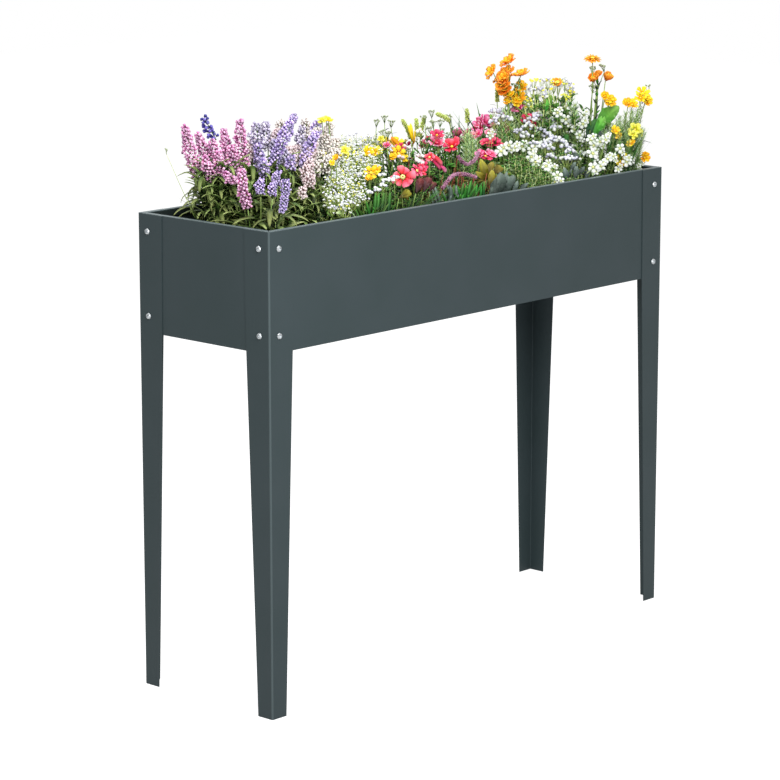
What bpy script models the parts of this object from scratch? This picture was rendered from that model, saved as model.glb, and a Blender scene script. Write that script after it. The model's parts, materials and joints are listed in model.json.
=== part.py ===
"""Elevated sheet-metal planter on four tapered angle legs, filled with soil and flowering plants.

Frame: metres, +Z up, origin on the floor under the middle of the box, X along the box.
"""
import math

import bmesh
import bpy
from mathutils import Matrix, Vector

# ---- driving sizes (metres) -------------------------------------------------------------
LENGTH = 1.000            # over the legs, along X
WIDTH = 0.300             # over the legs, along Y
HEIGHT = 0.800            # floor to rim
BOX_DEPTH = 0.197         # height of the side panels
SHEET = 0.0012            # thickness of all sheet parts
GAP = 0.0003              # clearance left between touching parts

HEM_WIDTH = 0.0090        # rim hem, folded inwards
HEM_DROP = 0.0120
BOTTOM_LIP = 0.0150       # turned-in lip that carries the floor tray
MITRE_GAP = 0.0006

LEG_TOP = 0.0550          # flange width at the rim
LEG_KNEE = 0.0525         # flange width at the underside of the box
LEG_FOOT = 0.0325         # flange width at the floor
LEG_BEND = 0.0020         # bend radius along the leg's corner

TRAY_WALL = 0.0150        # upturned edge of the floor tray
DRAIN_RADIUS = 0.0040
DRAINS_X = (-0.36, -0.12, 0.12, 0.36)
DRAINS_Y = (-0.07, 0.07)

SCREW_INSET = 0.0220      # from the leg's corner to a screw's axis
SCREW_DROPS = (0.029, 0.169)   # below the rim
SHANK_RADIUS = 0.0030
SHANK_LENGTH = 0.0105
HEAD_RADIUS = 0.00525
HEAD_HEIGHT = 0.0030
SOCKET_RADIUS = 0.0023
SOCKET_DEPTH = 0.0018
HOLE_RADIUS = 0.0034
NUT_RADIUS = 0.00577      # across corners / 2
NUT_HEIGHT = 0.0050
NUT_BORE = 0.0039         # six-sided, across corners / 2

SOIL_TOP = 0.762
POCKET_RADIUS = 0.0072    # room for the lower nuts in the soil
STEM_RADIUS = 0.0016

RIM = HEIGHT
BOX_FLOOR = HEIGHT - BOX_DEPTH
PANEL_FACE = SHEET + GAP                      # from the leg's outer face to the panel's
INNER_FACE = PANEL_FACE + SHEET               # from the leg's outer face to the box's inside
TRAY_BOTTOM = BOX_FLOOR + SHEET + GAP
SOIL_BOTTOM = TRAY_BOTTOM + SHEET + GAP
PLANT_BASE = SOIL_TOP + GAP

# ---- the planting -----------------------------------------------------------------------
# Each plant: crown = (x, y, half width, half depth, height), leaves = (count, length, half width),
# heads = (x, y, z) of each flower's tip, head = (kind, radius, length).
PLANTS = {
    "pink_lavender": {
        "crown": (-0.395, 0.066, 0.064, 0.060, 0.064), "leaves": (6, 0.085, 0.0050),
        "head": ("spike", 0.0095, 0.075), "colour": (0.62, 0.22, 0.42),
        "heads": [(-0.440, 0.108, 0.935), (-0.425, 0.084, 0.922), (-0.352, 0.108, 0.921),
                  (-0.350, 0.062, 0.942), (-0.400, 0.034, 0.899), (-0.447, 0.060, 0.885)],
    },
    "violet_lavender": {
        "crown": (-0.250, 0.066, 0.064, 0.060, 0.064), "leaves": (6, 0.085, 0.0050),
        "head": ("spike", 0.0095, 0.075), "colour": (0.33, 0.24, 0.56),
        "heads": [(-0.304, 0.118, 0.943), (-0.291, 0.074, 0.935), (-0.240, 0.050, 0.942),
                  (-0.200, 0.096, 0.922), (-0.190, 0.050, 0.923), (-0.290, 0.024, 0.906)],
    },
    "cream_lavender": {
        "crown": (-0.250, -0.066, 0.064, 0.060, 0.062), "leaves": (6, 0.080, 0.0050),
        "head": ("spike", 0.0085, 0.060), "colour": (0.80, 0.72, 0.66),
        "heads": [(-0.306, -0.030, 0.896), (-0.258, -0.022, 0.890), (-0.214, -0.034, 0.888),
                  (-0.208, -0.088, 0.862), (-0.288, -0.096, 0.860)],
    },
    "strap_leaf_tuft": {
        "crown": (-0.395, -0.066, 0.064, 0.060, 0.067), "leaves": (9, 0.115, 0.0050),
        "head": ("spike", 0.0085, 0.045), "colour": (0.24, 0.30, 0.10),
        "heads": [(-0.430, -0.036, 0.876), (-0.440, -0.080, 0.862), (-0.405, -0.108, 0.860),
                  (-0.360, -0.070, 0.872)],
    },
    "babys_breath": {
        "crown": (-0.129, -0.066, 0.046, 0.060, 0.062), "leaves": (4, 0.070, 0.0045),
        "head": ("dome", 0.0200, 0.024), "colour": (0.88, 0.88, 0.80),
        "heads": [(-0.150, -0.030, 0.872), (-0.112, -0.062, 0.856), (-0.100, -0.108, 0.838),
                  (-0.160, -0.096, 0.842), (-0.112, -0.018, 0.868)],
    },
    "yellow_yarrow": {
        "crown": (-0.129, 0.066, 0.046, 0.060, 0.062), "leaves": (5, 0.080, 0.0050),
        "head": ("dome", 0.0130, 0.012), "colour": (0.86, 0.74, 0.16),
        "heads": [(-0.129, 0.098, 0.920), (-0.119, 0.060, 0.874), (-0.098, 0.098, 0.888),
                  (-0.152, 0.034, 0.880)],
    },
    "blade_grass": {
        "crown": (-0.056, -0.066, 0.020, 0.060, 0.044), "leaves": (6, 0.090, 0.0050),
        "head": ("blade", 0.0060, 0.080), "colour": (0.22, 0.36, 0.12),
        "heads": [(-0.062, -0.112, 0.860), (-0.052, -0.080, 0.872), (-0.060, -0.040, 0.878)],
    },
    "yellow_marguerite": {
        "crown": (-0.010, 0.066, 0.066, 0.060, 0.067), "leaves": (6, 0.085, 0.0050),
        "head": ("disc", 0.0150, 0.008), "colour": (0.90, 0.70, 0.10),
        "heads": [(-0.044, 0.060, 0.868), (0.034, 0.074, 0.872), (-0.008, 0.036, 0.860),
                  (-0.022, 0.108, 0.880), (0.038, 0.030, 0.866)],
    },
    "coral_cosmos": {
        "crown": (0.020, -0.066, 0.052, 0.060, 0.060), "leaves": (5, 0.070, 0.0050),
        "head": ("disc", 0.0240, 0.010), "colour": (0.86, 0.20, 0.22),
        "heads": [(-0.006, -0.100, 0.845), (0.040, -0.092, 0.838), (0.000, -0.045, 0.852),
                  (0.050, -0.034, 0.862)],
    },
    "green_sprigs": {
        "crown": (0.112, 0.066, 0.050, 0.060, 0.067), "leaves": (6, 0.100, 0.0055),
        "head": ("spike", 0.0075, 0.040), "colour": (0.36, 0.46, 0.26),
        "heads": [(0.080, 0.112, 0.905), (0.100, 0.074, 0.880), (0.136, 0.100, 0.896),
                  (0.130, 0.036, 0.884), (0.092, 0.032, 0.872)],
    },
    "mauve_catkins": {
        "crown": (0.112, -0.066, 0.034, 0.060, 0.062), "leaves": (6, 0.085, 0.0070),
        "head": ("spike", 0.0085, 0.050), "colour": (0.60, 0.34, 0.42),
        "heads": [(0.104, -0.034, 0.862), (0.124, -0.070, 0.850), (0.098, -0.112, 0.836)],
    },
    "magenta_phlox": {
        "crown": (0.200, 0.066, 0.032, 0.060, 0.067), "leaves": (5, 0.085, 0.0060),
        "head": ("dome", 0.0140, 0.012), "colour": (0.78, 0.14, 0.38),
        "heads": [(0.196, 0.060, 0.884), (0.206, 0.022, 0.892), (0.208, 0.104, 0.890)],
    },
    "orange_ranunculus": {
        "crown": (0.285, 0.066, 0.048, 0.060, 0.067), "leaves": (6, 0.085, 0.0060),
        "head": ("disc", 0.0165, 0.014), "colour": (0.92, 0.42, 0.05),
        "heads": [(0.270, 0.062, 0.972), (0.322, 0.090, 0.982), (0.268, 0.026, 0.950),
                  (0.330, 0.050, 0.956), (0.298, 0.040, 0.925)],
    },
    "white_phlox_left": {
        "crown": (0.220, -0.066, 0.068, 0.060, 0.072), "leaves": (6, 0.080, 0.0090),
        "head": ("dome", 0.0210, 0.020), "colour": (0.88, 0.90, 0.88),
        "heads": [(0.186, -0.092, 0.840), (0.232, -0.110, 0.836), (0.214, -0.048, 0.858),
                  (0.262, -0.060, 0.852)],
    },
    "orange_daisy": {
        "crown": (0.412, 0.066, 0.072, 0.060, 0.067), "leaves": (6, 0.085, 0.0090),
        "head": ("disc", 0.0150, 0.010), "colour": (0.93, 0.45, 0.08),
        "heads": [(0.440, 0.064, 0.936), (0.448, -0.024, 0.984), (0.470, 0.018, 0.958),
                  (0.396, 0.040, 0.915)],
    },
    "white_phlox_right": {
        "crown": (0.346, -0.066, 0.052, 0.060, 0.072), "leaves": (7, 0.080, 0.0080),
        "head": ("dome", 0.0210, 0.020), "colour": (0.88, 0.90, 0.92),
        "heads": [(0.352, -0.026, 0.892), (0.386, -0.060, 0.868), (0.350, -0.076, 0.845),
                  (0.320, -0.112, 0.826), (0.384, -0.110, 0.830)],
    },
    "yellow_coreopsis": {
        "crown": (0.438, -0.066, 0.036, 0.060, 0.072), "leaves": (6, 0.090, 0.0080),
        "head": ("disc", 0.0120, 0.008), "colour": (0.92, 0.72, 0.10),
        "heads": [(0.436, -0.070, 0.902), (0.436, -0.118, 0.912), (0.464, -0.128, 0.922),
                  (0.446, -0.100, 0.858)],
    },
}
GOLDEN_ANGLE = math.pi * (3.0 - math.sqrt(5.0))


def start_clean():
    for old in list(bpy.data.objects):
        bpy.data.objects.remove(old, do_unlink=True)


def material(name, colour, roughness, metallic=0.0):
    mat = bpy.data.materials.new(name)
    mat.use_nodes = True
    mat.diffuse_color = (*colour, 1.0)
    bsdf = mat.node_tree.nodes["Principled BSDF"]
    bsdf.inputs["Base Color"].default_value = (*colour, 1.0)
    bsdf.inputs["Roughness"].default_value = roughness
    bsdf.inputs["Metallic"].default_value = metallic
    return mat


def add_object(name, bm, mat, location=(0.0, 0.0, 0.0), turn=0.0):
    """Recalculate the normals, store the mesh and place it by location and a turn about Z."""
    bmesh.ops.recalc_face_normals(bm, faces=bm.faces)
    mesh = bpy.data.meshes.new(name)
    bm.to_mesh(mesh)
    bm.free()
    obj = bpy.data.objects.new(name, mesh)
    obj.location = location
    obj.rotation_euler = (0.0, 0.0, turn)
    if mat is not None:
        mesh.materials.append(mat)
    bpy.context.scene.collection.objects.link(obj)
    return obj


def hide_tool(obj):
    obj.hide_render = True
    obj.display_type = "WIRE"
    return obj


def boolean(obj, tool, operation):
    mod = obj.modifiers.new(operation.lower(), "BOOLEAN")
    mod.operation = operation
    mod.solver = "EXACT"
    mod.use_self = operation == "UNION"
    mod.object = tool
    return mod


def skin_rings(bm, rings, close=True):
    """Join equal rings of vertices with quads and cap the two ends."""
    count = len(rings[0])
    for low, high in zip(rings, rings[1:]):
        for i in range(count):
            j = (i + 1) % count
            bm.faces.new((low[i], low[j], high[j], high[i]))
    if close:
        bm.faces.new(rings[0])
        bm.faces.new(rings[-1])


# ---- sheet-metal box ----------------------------------------------------------------------
def folded_panel(name, half_length, mat, location, turn):
    """Side panel: a flat sheet with a hem at the rim and a lip at the bottom, both ends mitred.

    Local X runs along the panel and local Y points into the box.
    """
    profile = [
        (0.0, BOX_FLOOR), (0.0, RIM), (HEM_WIDTH, RIM), (HEM_WIDTH, RIM - HEM_DROP),
        (HEM_WIDTH - SHEET, RIM - HEM_DROP), (HEM_WIDTH - SHEET, RIM - SHEET),
        (SHEET, RIM - SHEET), (SHEET, BOX_FLOOR + SHEET),
        (BOTTOM_LIP, BOX_FLOOR + SHEET), (BOTTOM_LIP, BOX_FLOOR),
    ]
    bm = bmesh.new()
    rings = []
    for side in (-1.0, 1.0):
        rings.append([bm.verts.new((side * (half_length - MITRE_GAP - inward), inward, z))
                      for inward, z in profile])
    skin_rings(bm, rings)
    panel = add_object(name, bm, mat, location, turn)

    cutter = bmesh.new()
    for side in (-1.0, 1.0):
        for drop in SCREW_DROPS:
            x = side * (half_length + PANEL_FACE - SCREW_INSET)
            place = Matrix.Translation((x, 0.0, RIM - drop)) @ Matrix.Rotation(math.pi / 2, 4, "X")
            bmesh.ops.create_cone(cutter, cap_ends=True, segments=12, radius1=HOLE_RADIUS,
                                  radius2=HOLE_RADIUS, depth=0.010, matrix=place)
    tool = hide_tool(add_object(name + "_drill", cutter, None, location, turn))
    boolean(panel, tool, "DIFFERENCE")
    return panel


def angle_leg(name, mat, location, turn):
    """Tapered L-shaped leg; the two flanges run along local +X and +Y from the corner."""
    bm = bmesh.new()
    rings = []
    for z, width in ((0.0, LEG_FOOT), (BOX_FLOOR, LEG_KNEE), (RIM, LEG_TOP)):
        arc = [(LEG_BEND * (1 - math.cos(a)), LEG_BEND * (1 - math.sin(a)))
               for a in (0.0, math.pi / 6, math.pi / 3, math.pi / 2)]
        outline = [(0.0, width)] + arc
        outline += [(width, 0.0), (width, SHEET), (LEG_BEND, SHEET), (SHEET, LEG_BEND), (SHEET, width)]
        rings.append([bm.verts.new((x, y, z)) for x, y in outline])
    skin_rings(bm, rings)
    leg = add_object(name, bm, mat, location, turn)

    cutter = bmesh.new()
    for drop in SCREW_DROPS:
        for spot, axis in (((SCREW_INSET, 0.0), "X"), ((0.0, SCREW_INSET), "Y")):
            place = (Matrix.Translation((spot[0], spot[1], RIM - drop))
                     @ Matrix.Rotation(math.pi / 2, 4, axis))
            bmesh.ops.create_cone(cutter, cap_ends=True, segments=12, radius1=HOLE_RADIUS,
                                  radius2=HOLE_RADIUS, depth=0.006, matrix=place)
    tool = hide_tool(add_object(name + "_drill", cutter, None, location, turn))
    boolean(leg, tool, "DIFFERENCE")
    return leg


def floor_tray(mat):
    """Loose tray on the panels' bottom lips, with upturned edges and drain holes."""
    half_x = LENGTH / 2 - INNER_FACE - GAP
    half_y = WIDTH / 2 - INNER_FACE - GAP
    bm = bmesh.new()
    place = Matrix.Translation((0.0, 0.0, TRAY_BOTTOM + TRAY_WALL / 2))
    bmesh.ops.create_cube(bm, size=1.0, matrix=place @ Matrix.Diagonal(
        (2 * half_x, 2 * half_y, TRAY_WALL, 1.0)))
    top = max(bm.faces, key=lambda face: face.calc_center_median().z)
    bmesh.ops.inset_region(bm, faces=[top], thickness=SHEET, use_even_offset=True)
    sunk = bmesh.ops.extrude_discrete_faces(bm, faces=[top])["faces"]
    bmesh.ops.translate(bm, vec=(0.0, 0.0, SHEET - TRAY_WALL), verts=sunk[0].verts)
    tray = add_object("floor_tray", bm, mat)

    cutter = bmesh.new()
    for x in DRAINS_X:
        for y in DRAINS_Y:
            bmesh.ops.create_cone(cutter, cap_ends=True, segments=8, radius1=DRAIN_RADIUS,
                                  radius2=DRAIN_RADIUS, depth=0.010,
                                  matrix=Matrix.Translation((x, y, TRAY_BOTTOM)))
    boolean(tray, hide_tool(add_object("floor_tray_drill", cutter, None)), "DIFFERENCE")
    return tray


# ---- screws and nuts ----------------------------------------------------------------------
def ring_points(radius, z, count, hexagonal=False):
    """A circle, or a hexagon with count points on its outline, at height z."""
    points = []
    for i in range(count):
        angle = 2 * math.pi * i / count
        reach = radius
        if hexagonal:
            off = (angle % (math.pi / 3)) - math.pi / 6
            reach = radius * math.cos(math.pi / 6) / math.cos(off)
        points.append((reach * math.cos(angle), reach * math.sin(angle), z))
    return points


def screw_mesh(mat):
    """Button-head screw: shank down local -Z, head on +Z with a hexagon socket."""
    levels = [
        (SHANK_RADIUS * 0.75, -SHANK_LENGTH, False), (SHANK_RADIUS, -SHANK_LENGTH + 0.0008, False),
        (SHANK_RADIUS, 0.0, False), (HEAD_RADIUS, 0.0, False), (HEAD_RADIUS, 0.0007, False),
        (HEAD_RADIUS * 0.80, HEAD_HEIGHT * 0.75, False), (SOCKET_RADIUS * 1.15, HEAD_HEIGHT, False),
        (SOCKET_RADIUS, HEAD_HEIGHT, True), (SOCKET_RADIUS, HEAD_HEIGHT - SOCKET_DEPTH, True),
    ]
    bm = bmesh.new()
    rings = [[bm.verts.new(p) for p in ring_points(r, z, 12, is_hex)] for r, z, is_hex in levels]
    skin_rings(bm, rings)
    bmesh.ops.recalc_face_normals(bm, faces=bm.faces)
    mesh = bpy.data.meshes.new("button_head_screw")
    bm.to_mesh(mesh)
    bm.free()
    mesh.materials.append(mat)
    return mesh


def nut_mesh(mat):
    """Hexagon nut whose bearing face is at local Z = 0 and whose body runs down local -Z."""
    bm = bmesh.new()
    levels = [(NUT_BORE, 0.0), (NUT_RADIUS, 0.0), (NUT_RADIUS, -NUT_HEIGHT), (NUT_BORE, -NUT_HEIGHT)]
    rings = [[bm.verts.new(p) for p in ring_points(r, z, 6)] for r, z in levels]
    skin_rings(bm, rings + [rings[0]], close=False)
    bmesh.ops.recalc_face_normals(bm, faces=bm.faces)
    mesh = bpy.data.meshes.new("hexagon_nut")
    bm.to_mesh(mesh)
    bm.free()
    mesh.materials.append(mat)
    return mesh


def screw_places():
    """Name, point on the leg's outer face and outward direction of every screw."""
    places = []
    corners = (("front_left", -1, -1), ("front_right", 1, -1), ("back_left", -1, 1),
               ("back_right", 1, 1))
    for corner, sx, sy in corners:
        for face in ("long", "end"):
            for level, drop in zip(("upper", "lower"), SCREW_DROPS):
                if face == "long":
                    point = Vector((sx * (LENGTH / 2 - SCREW_INSET), sy * WIDTH / 2, RIM - drop))
                    outward = Vector((0, sy, 0))
                else:
                    point = Vector((sx * LENGTH / 2, sy * (WIDTH / 2 - SCREW_INSET), RIM - drop))
                    outward = Vector((sx, 0, 0))
                places.append((f"{corner}_{face}_{level}", point, outward))
    return places


def fasten(screw, nut):
    for label, point, outward in screw_places():
        turn = outward.to_track_quat("Z", "Y").to_euler()
        for prefix, mesh, offset in (("screw", screw, GAP), ("nut", nut, -(INNER_FACE + GAP))):
            obj = bpy.data.objects.new(f"{prefix}_{label}", mesh)
            obj.location = point + outward * offset
            obj.rotation_euler = turn
            bpy.context.scene.collection.objects.link(obj)


# ---- soil and plants ------------------------------------------------------------------------
def soil_block(mat):
    """Soil that fills the tray, with pockets round the lower nuts."""
    half_x = LENGTH / 2 - INNER_FACE - GAP - SHEET - GAP
    half_y = WIDTH / 2 - INNER_FACE - GAP - SHEET - GAP
    bm = bmesh.new()
    place = Matrix.Translation((0.0, 0.0, (SOIL_TOP + SOIL_BOTTOM) / 2))
    bmesh.ops.create_cube(bm, size=1.0, matrix=place @ Matrix.Diagonal(
        (2 * half_x, 2 * half_y, SOIL_TOP - SOIL_BOTTOM, 1.0)))
    soil = add_object("soil", bm, mat)
    cutter = bmesh.new()
    for label, point, outward in screw_places():
        if label.endswith("lower"):
            turn = outward.to_track_quat("Z", "Y").to_matrix().to_4x4()
            bmesh.ops.create_cone(cutter, cap_ends=True, segments=8, radius1=POCKET_RADIUS,
                                  radius2=POCKET_RADIUS, depth=2 * (SHANK_LENGTH + 0.001),
                                  matrix=Matrix.Translation(point) @ turn)
    boolean(soil, hide_tool(add_object("soil_pockets", cutter, None)), "DIFFERENCE")
    return soil


def loft(bm, stations, sides, across=None):
    """Closed tube through stations (centre, direction, half width, half thickness)."""
    rings = []
    across = across or stations[0][1].cross(Vector((0.57, -0.79, 0.22)))
    for centre, direction, wide, thick in stations:
        across = (across - direction * across.dot(direction)).normalized()
        up = across.cross(direction)
        ring = []
        for i in range(sides):
            angle = 2 * math.pi * i / sides
            ring.append(bm.verts.new(centre + across * (wide * math.cos(angle))
                                     + up * (thick * math.sin(angle))))
        rings.append(ring)
    skin_rings(bm, rings)


HEAD_PROFILES = {      # (share of the head's length, share of its radius)
    "spike": ((0.10, 0.90), (0.60, 0.85), (1.00, 0.20)),
    "dome": ((0.10, 0.70), (0.45, 1.00), (1.00, 0.45)),
    "disc": ((0.30, 0.85), (0.65, 1.00), (1.00, 0.50)),
    "blade": ((0.40, 1.00), (1.00, 0.12)),
}


def flower(bm, crown, tip, head):
    """One stem with its flower, lofted in a single closed tube from the crown to the tip."""
    kind, radius, length = head
    cx, cy, rx, ry, height = crown
    root = Vector((cx + (tip.x - cx) * 0.30, cy + (tip.y - cy) * 0.30, PLANT_BASE + height * 0.35))
    root.x = min(max(root.x, cx - rx * 0.55), cx + rx * 0.55)
    root.y = min(max(root.y, cy - ry * 0.55), cy + ry * 0.55)
    lean = Vector((tip.x - root.x, tip.y - root.y, 0.0))
    facing = Vector((lean.x * 0.5, lean.y * 0.5, 1.0))
    if kind in ("disc", "dome"):
        facing = Vector((lean.x * 2.0 - 0.25, lean.y * 2.0 - 0.30, 1.0))
    facing.normalize()
    neck = tip - facing * length
    throat = neck - facing * 0.004
    rise = (throat - root).normalized()
    stations = [(root, rise, STEM_RADIUS * 1.3, STEM_RADIUS * 1.3),
                (throat, (rise + facing).normalized(), STEM_RADIUS, STEM_RADIUS)]
    thick = 0.45 if kind == "blade" else 1.0
    for share, size in HEAD_PROFILES[kind]:
        stations.append((neck + facing * (length * share), facing, radius * size,
                         radius * size * thick))
    loft(bm, stations, 4 if kind == "blade" else 5)


def leaf(bm, crown, index, count, length, half_width):
    """One arching leaf that springs from the crown; golden-angle spacing round it."""
    cx, cy, rx, ry, height = crown
    angle = index * GOLDEN_ANGLE + cx * 7.0
    reach = 0.72 + 0.24 * ((index * 0.37) % 1.0)
    out = Vector((rx * math.cos(angle), ry * math.sin(angle), 0.0))
    root = Vector((cx, cy, PLANT_BASE + height * 0.30)) + out * 0.30
    rise = length * (0.55 + 0.45 * ((index * 0.61) % 1.0))
    knee = Vector((cx, cy, PLANT_BASE + height * 0.45 + rise * 0.85)) + out * (reach * 0.72)
    tip = Vector((cx, cy, PLANT_BASE + height * 0.45 + rise)) + out * (reach * 1.08)
    path = [(root, 0.65), (knee, 1.0), (tip, 0.25)]
    stations = []
    for i, (point, share) in enumerate(path):
        ahead = path[min(i + 1, 2)][0] - path[max(i - 1, 0)][0]
        stations.append((point, ahead.normalized(), half_width * share, 0.0012 * share))
    loft(bm, stations, 4, Vector((-out.y, out.x, 0.0)))


def plant(name, spec):
    """A flat-bottomed crown with its leaves and flowers, united to one solid."""
    crown = spec["crown"]
    cx, cy, rx, ry, height = crown
    mat = material(name, spec["colour"], 0.75)
    mound = bmesh.new()
    profile = ((0.0, 0.88), (0.40, 1.00), (1.00, 0.50))
    rings = []
    for share, size in profile:
        ring = []
        for i in range(9):
            angle = 2 * math.pi * (i + 0.25) / 9
            swell = 1.0 - 0.08 * (i % 2)
            ring.append(mound.verts.new((cx + rx * size * swell * math.cos(angle),
                                         cy + ry * size * swell * math.sin(angle),
                                         PLANT_BASE + height * share)))
        rings.append(ring)
    skin_rings(mound, rings)
    bmesh.ops.triangulate(mound, faces=mound.faces)
    body = add_object(name, mound, mat)

    growth = bmesh.new()
    count, length, half_width = spec["leaves"]
    for index in range(count):
        leaf(growth, crown, index, count, length, half_width)
    for tip in spec["heads"]:
        flower(growth, crown, Vector(tip), spec["head"])
    bmesh.ops.triangulate(growth, faces=growth.faces)
    boolean(body, hide_tool(add_object(name + "_growth", growth, None)), "UNION")
    return body


def main():
    start_clean()
    coat = material("powder_coat", (0.062, 0.078, 0.082), 0.45, 0.2)
    zinc = material("zinc_plate", (0.72, 0.73, 0.74), 0.28, 1.0)
    earth = material("potting_soil", (0.045, 0.030, 0.020), 0.95)

    long_half = LENGTH / 2 - PANEL_FACE
    end_half = WIDTH / 2 - PANEL_FACE
    folded_panel("front_panel", long_half, coat, (0.0, -end_half, 0.0), 0.0)
    folded_panel("back_panel", long_half, coat, (0.0, end_half, 0.0), math.pi)
    folded_panel("left_panel", end_half, coat, (-long_half, 0.0, 0.0), -math.pi / 2)
    folded_panel("right_panel", end_half, coat, (long_half, 0.0, 0.0), math.pi / 2)
    floor_tray(coat)
    angle_leg("leg_front_left", coat, (-LENGTH / 2, -WIDTH / 2, 0.0), 0.0)
    angle_leg("leg_front_right", coat, (LENGTH / 2, -WIDTH / 2, 0.0), math.pi / 2)
    angle_leg("leg_back_right", coat, (LENGTH / 2, WIDTH / 2, 0.0), math.pi)
    angle_leg("leg_back_left", coat, (-LENGTH / 2, WIDTH / 2, 0.0), -math.pi / 2)
    fasten(screw_mesh(zinc), nut_mesh(zinc))
    soil_block(earth)
    for name, spec in PLANTS.items():
        plant(name, spec)


main()
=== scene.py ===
import json
import math
import random

import bmesh
import bpy
from mathutils import Matrix, Vector, noise

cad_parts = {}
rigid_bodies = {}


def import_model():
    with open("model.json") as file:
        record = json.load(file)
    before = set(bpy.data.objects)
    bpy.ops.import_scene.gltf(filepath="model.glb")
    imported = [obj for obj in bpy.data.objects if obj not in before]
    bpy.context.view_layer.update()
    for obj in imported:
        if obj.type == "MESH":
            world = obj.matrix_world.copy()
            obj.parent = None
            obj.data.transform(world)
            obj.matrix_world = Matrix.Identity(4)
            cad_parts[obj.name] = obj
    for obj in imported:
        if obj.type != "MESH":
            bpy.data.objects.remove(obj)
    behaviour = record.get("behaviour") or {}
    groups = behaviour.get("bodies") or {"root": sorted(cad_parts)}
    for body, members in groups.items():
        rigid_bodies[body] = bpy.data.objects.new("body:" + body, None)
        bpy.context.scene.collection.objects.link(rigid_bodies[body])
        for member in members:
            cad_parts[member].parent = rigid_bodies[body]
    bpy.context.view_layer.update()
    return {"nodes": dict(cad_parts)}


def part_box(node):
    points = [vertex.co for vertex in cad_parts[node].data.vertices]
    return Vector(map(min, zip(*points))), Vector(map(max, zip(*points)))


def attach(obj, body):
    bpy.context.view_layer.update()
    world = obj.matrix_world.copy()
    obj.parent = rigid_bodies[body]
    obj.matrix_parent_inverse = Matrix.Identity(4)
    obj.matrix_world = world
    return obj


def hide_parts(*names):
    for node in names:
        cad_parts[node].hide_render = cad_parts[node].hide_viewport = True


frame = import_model()
random.seed(41)
soilLow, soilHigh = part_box("soil")
soilTop = soilHigh.z
rootLevel = soilTop - 0.003  # stems start just under the soil
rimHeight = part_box("front_panel")[1].z
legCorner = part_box("leg_back_right")[1]
goldenTurn = math.pi * (3 - math.sqrt(5))


def metres(*numbers):  # spots are written in whole millimetres
    return tuple(number / 1000 for number in numbers)


def inMetres(rows):
    return [metres(*row) for row in rows]


def tint(red, green, blue):  # display values 0-255 to a linear colour
    def linear(value):
        value /= 255
        return value / 12.92 if value <= 0.04045 else ((value + 0.055) / 1.055) ** 2.4
    return (linear(red), linear(green), linear(blue), 1.0)


def clearPick():
    if bpy.context.object and bpy.context.object.mode != "OBJECT":
        bpy.ops.object.mode_set(mode="OBJECT")
    bpy.ops.object.select_all(action="DESELECT")


def feed(tree, node, sockets):  # an output is linked to the socket, a plain value is set on it
    for name, value in sockets.items():
        if isinstance(value, bpy.types.NodeSocket):
            tree.links.new(value, node.inputs[name])
        else:
            node.inputs[name].default_value = value


def addNode(tree, kind, sockets, **settings):
    node = tree.nodes.new("ShaderNode" + kind)
    for name, value in settings.items():
        setattr(node, name, value)
    feed(tree, node, sockets)
    return node


def newPaint(name, sockets):
    paint = bpy.data.materials.new(name)
    paint.use_nodes = True
    shader = paint.node_tree.nodes["Principled BSDF"]
    feed(paint.node_tree, shader, sockets)
    return paint, paint.node_tree, shader


def addRamp(tree, value, stops):
    ramp = addNode(tree, "ValToRGB", {0: value})
    while len(ramp.color_ramp.elements) < len(stops):
        ramp.color_ramp.elements.new(0.5)
    for element, (place, colour) in zip(ramp.color_ramp.elements, stops):
        element.position = place
        element.color = colour
    return ramp.outputs["Color"]


def addNoise(tree, scale, detail=3.0):
    place = addNode(tree, "TexCoord", {}).outputs["Object"]
    return addNode(tree, "TexNoise", {"Vector": place, "Scale": scale, "Detail": detail}).outputs["Fac"]


def addMath(tree, operation, *values):
    return addNode(tree, "Math", dict(enumerate(values)), operation=operation).outputs[0]


def addMix(tree, share, first, second):
    return addNode(tree, "Mix", {0: share, 6: first, 7: second}, data_type="RGBA").outputs[2]


def addBump(tree, shader, height, strength, distance):
    bump = addNode(tree, "Bump", {"Strength": strength, "Distance": distance, "Height": height})
    feed(tree, shader, {"Normal": bump.outputs[0]})


growth = {"roughness": 0.6, "shine": 0.3, "mottleScale": 220.0, "mottle": 0.5, "bump": 0.25, "bumpHeight": 0.0005}


# petals and leaves: colour runs along the blade, and each copy has its own tone
def growthPaint(name, root, middle, edge, spread, swing=0.02, rib=1.0, ribWidth=0.12):
    paint, tree, shader = newPaint(name, {"Roughness": growth["roughness"], "Specular IOR Level": growth["shine"]})
    blade = addNode(tree, "UVMap", {}, uv_map="blade")
    split = addNode(tree, "SeparateXYZ", {0: blade.outputs[0]}).outputs
    colour = addRamp(tree, split["Y"], [(0.0, tint(*root)), (0.45, tint(*middle)), (1.0, tint(*edge))])
    tone = addNode(tree, "Attribute", {}, attribute_name="tone").outputs["Fac"]
    mottle = addNoise(tree, growth["mottleScale"])
    lift = addMath(tree, "MULTIPLY_ADD", tone, spread, 1.0 - 0.5 * spread)
    grain = addMath(tree, "MULTIPLY_ADD", mottle, growth["mottle"], 1.0 - 0.5 * growth["mottle"])
    fromRib = addMath(tree, "ABSOLUTE", addMath(tree, "SUBTRACT", split["X"], 0.5))
    midrib = addNode(tree, "MapRange", {"Value": fromRib, "From Max": ribWidth, "To Min": rib})  # paler or darker
    value = addMath(tree, "MULTIPLY", addMath(tree, "MULTIPLY", lift, grain), midrib.outputs[0])
    hue = addMath(tree, "MULTIPLY_ADD", tone, swing, 0.5 - 0.5 * swing)
    adjust = addNode(tree, "HueSaturation", {"Hue": hue, "Value": value, "Color": colour})
    feed(tree, shader, {"Base Color": adjust.outputs["Color"]})
    addBump(tree, shader, mottle, growth["bump"], growth["bumpHeight"])
    return paint


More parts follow.
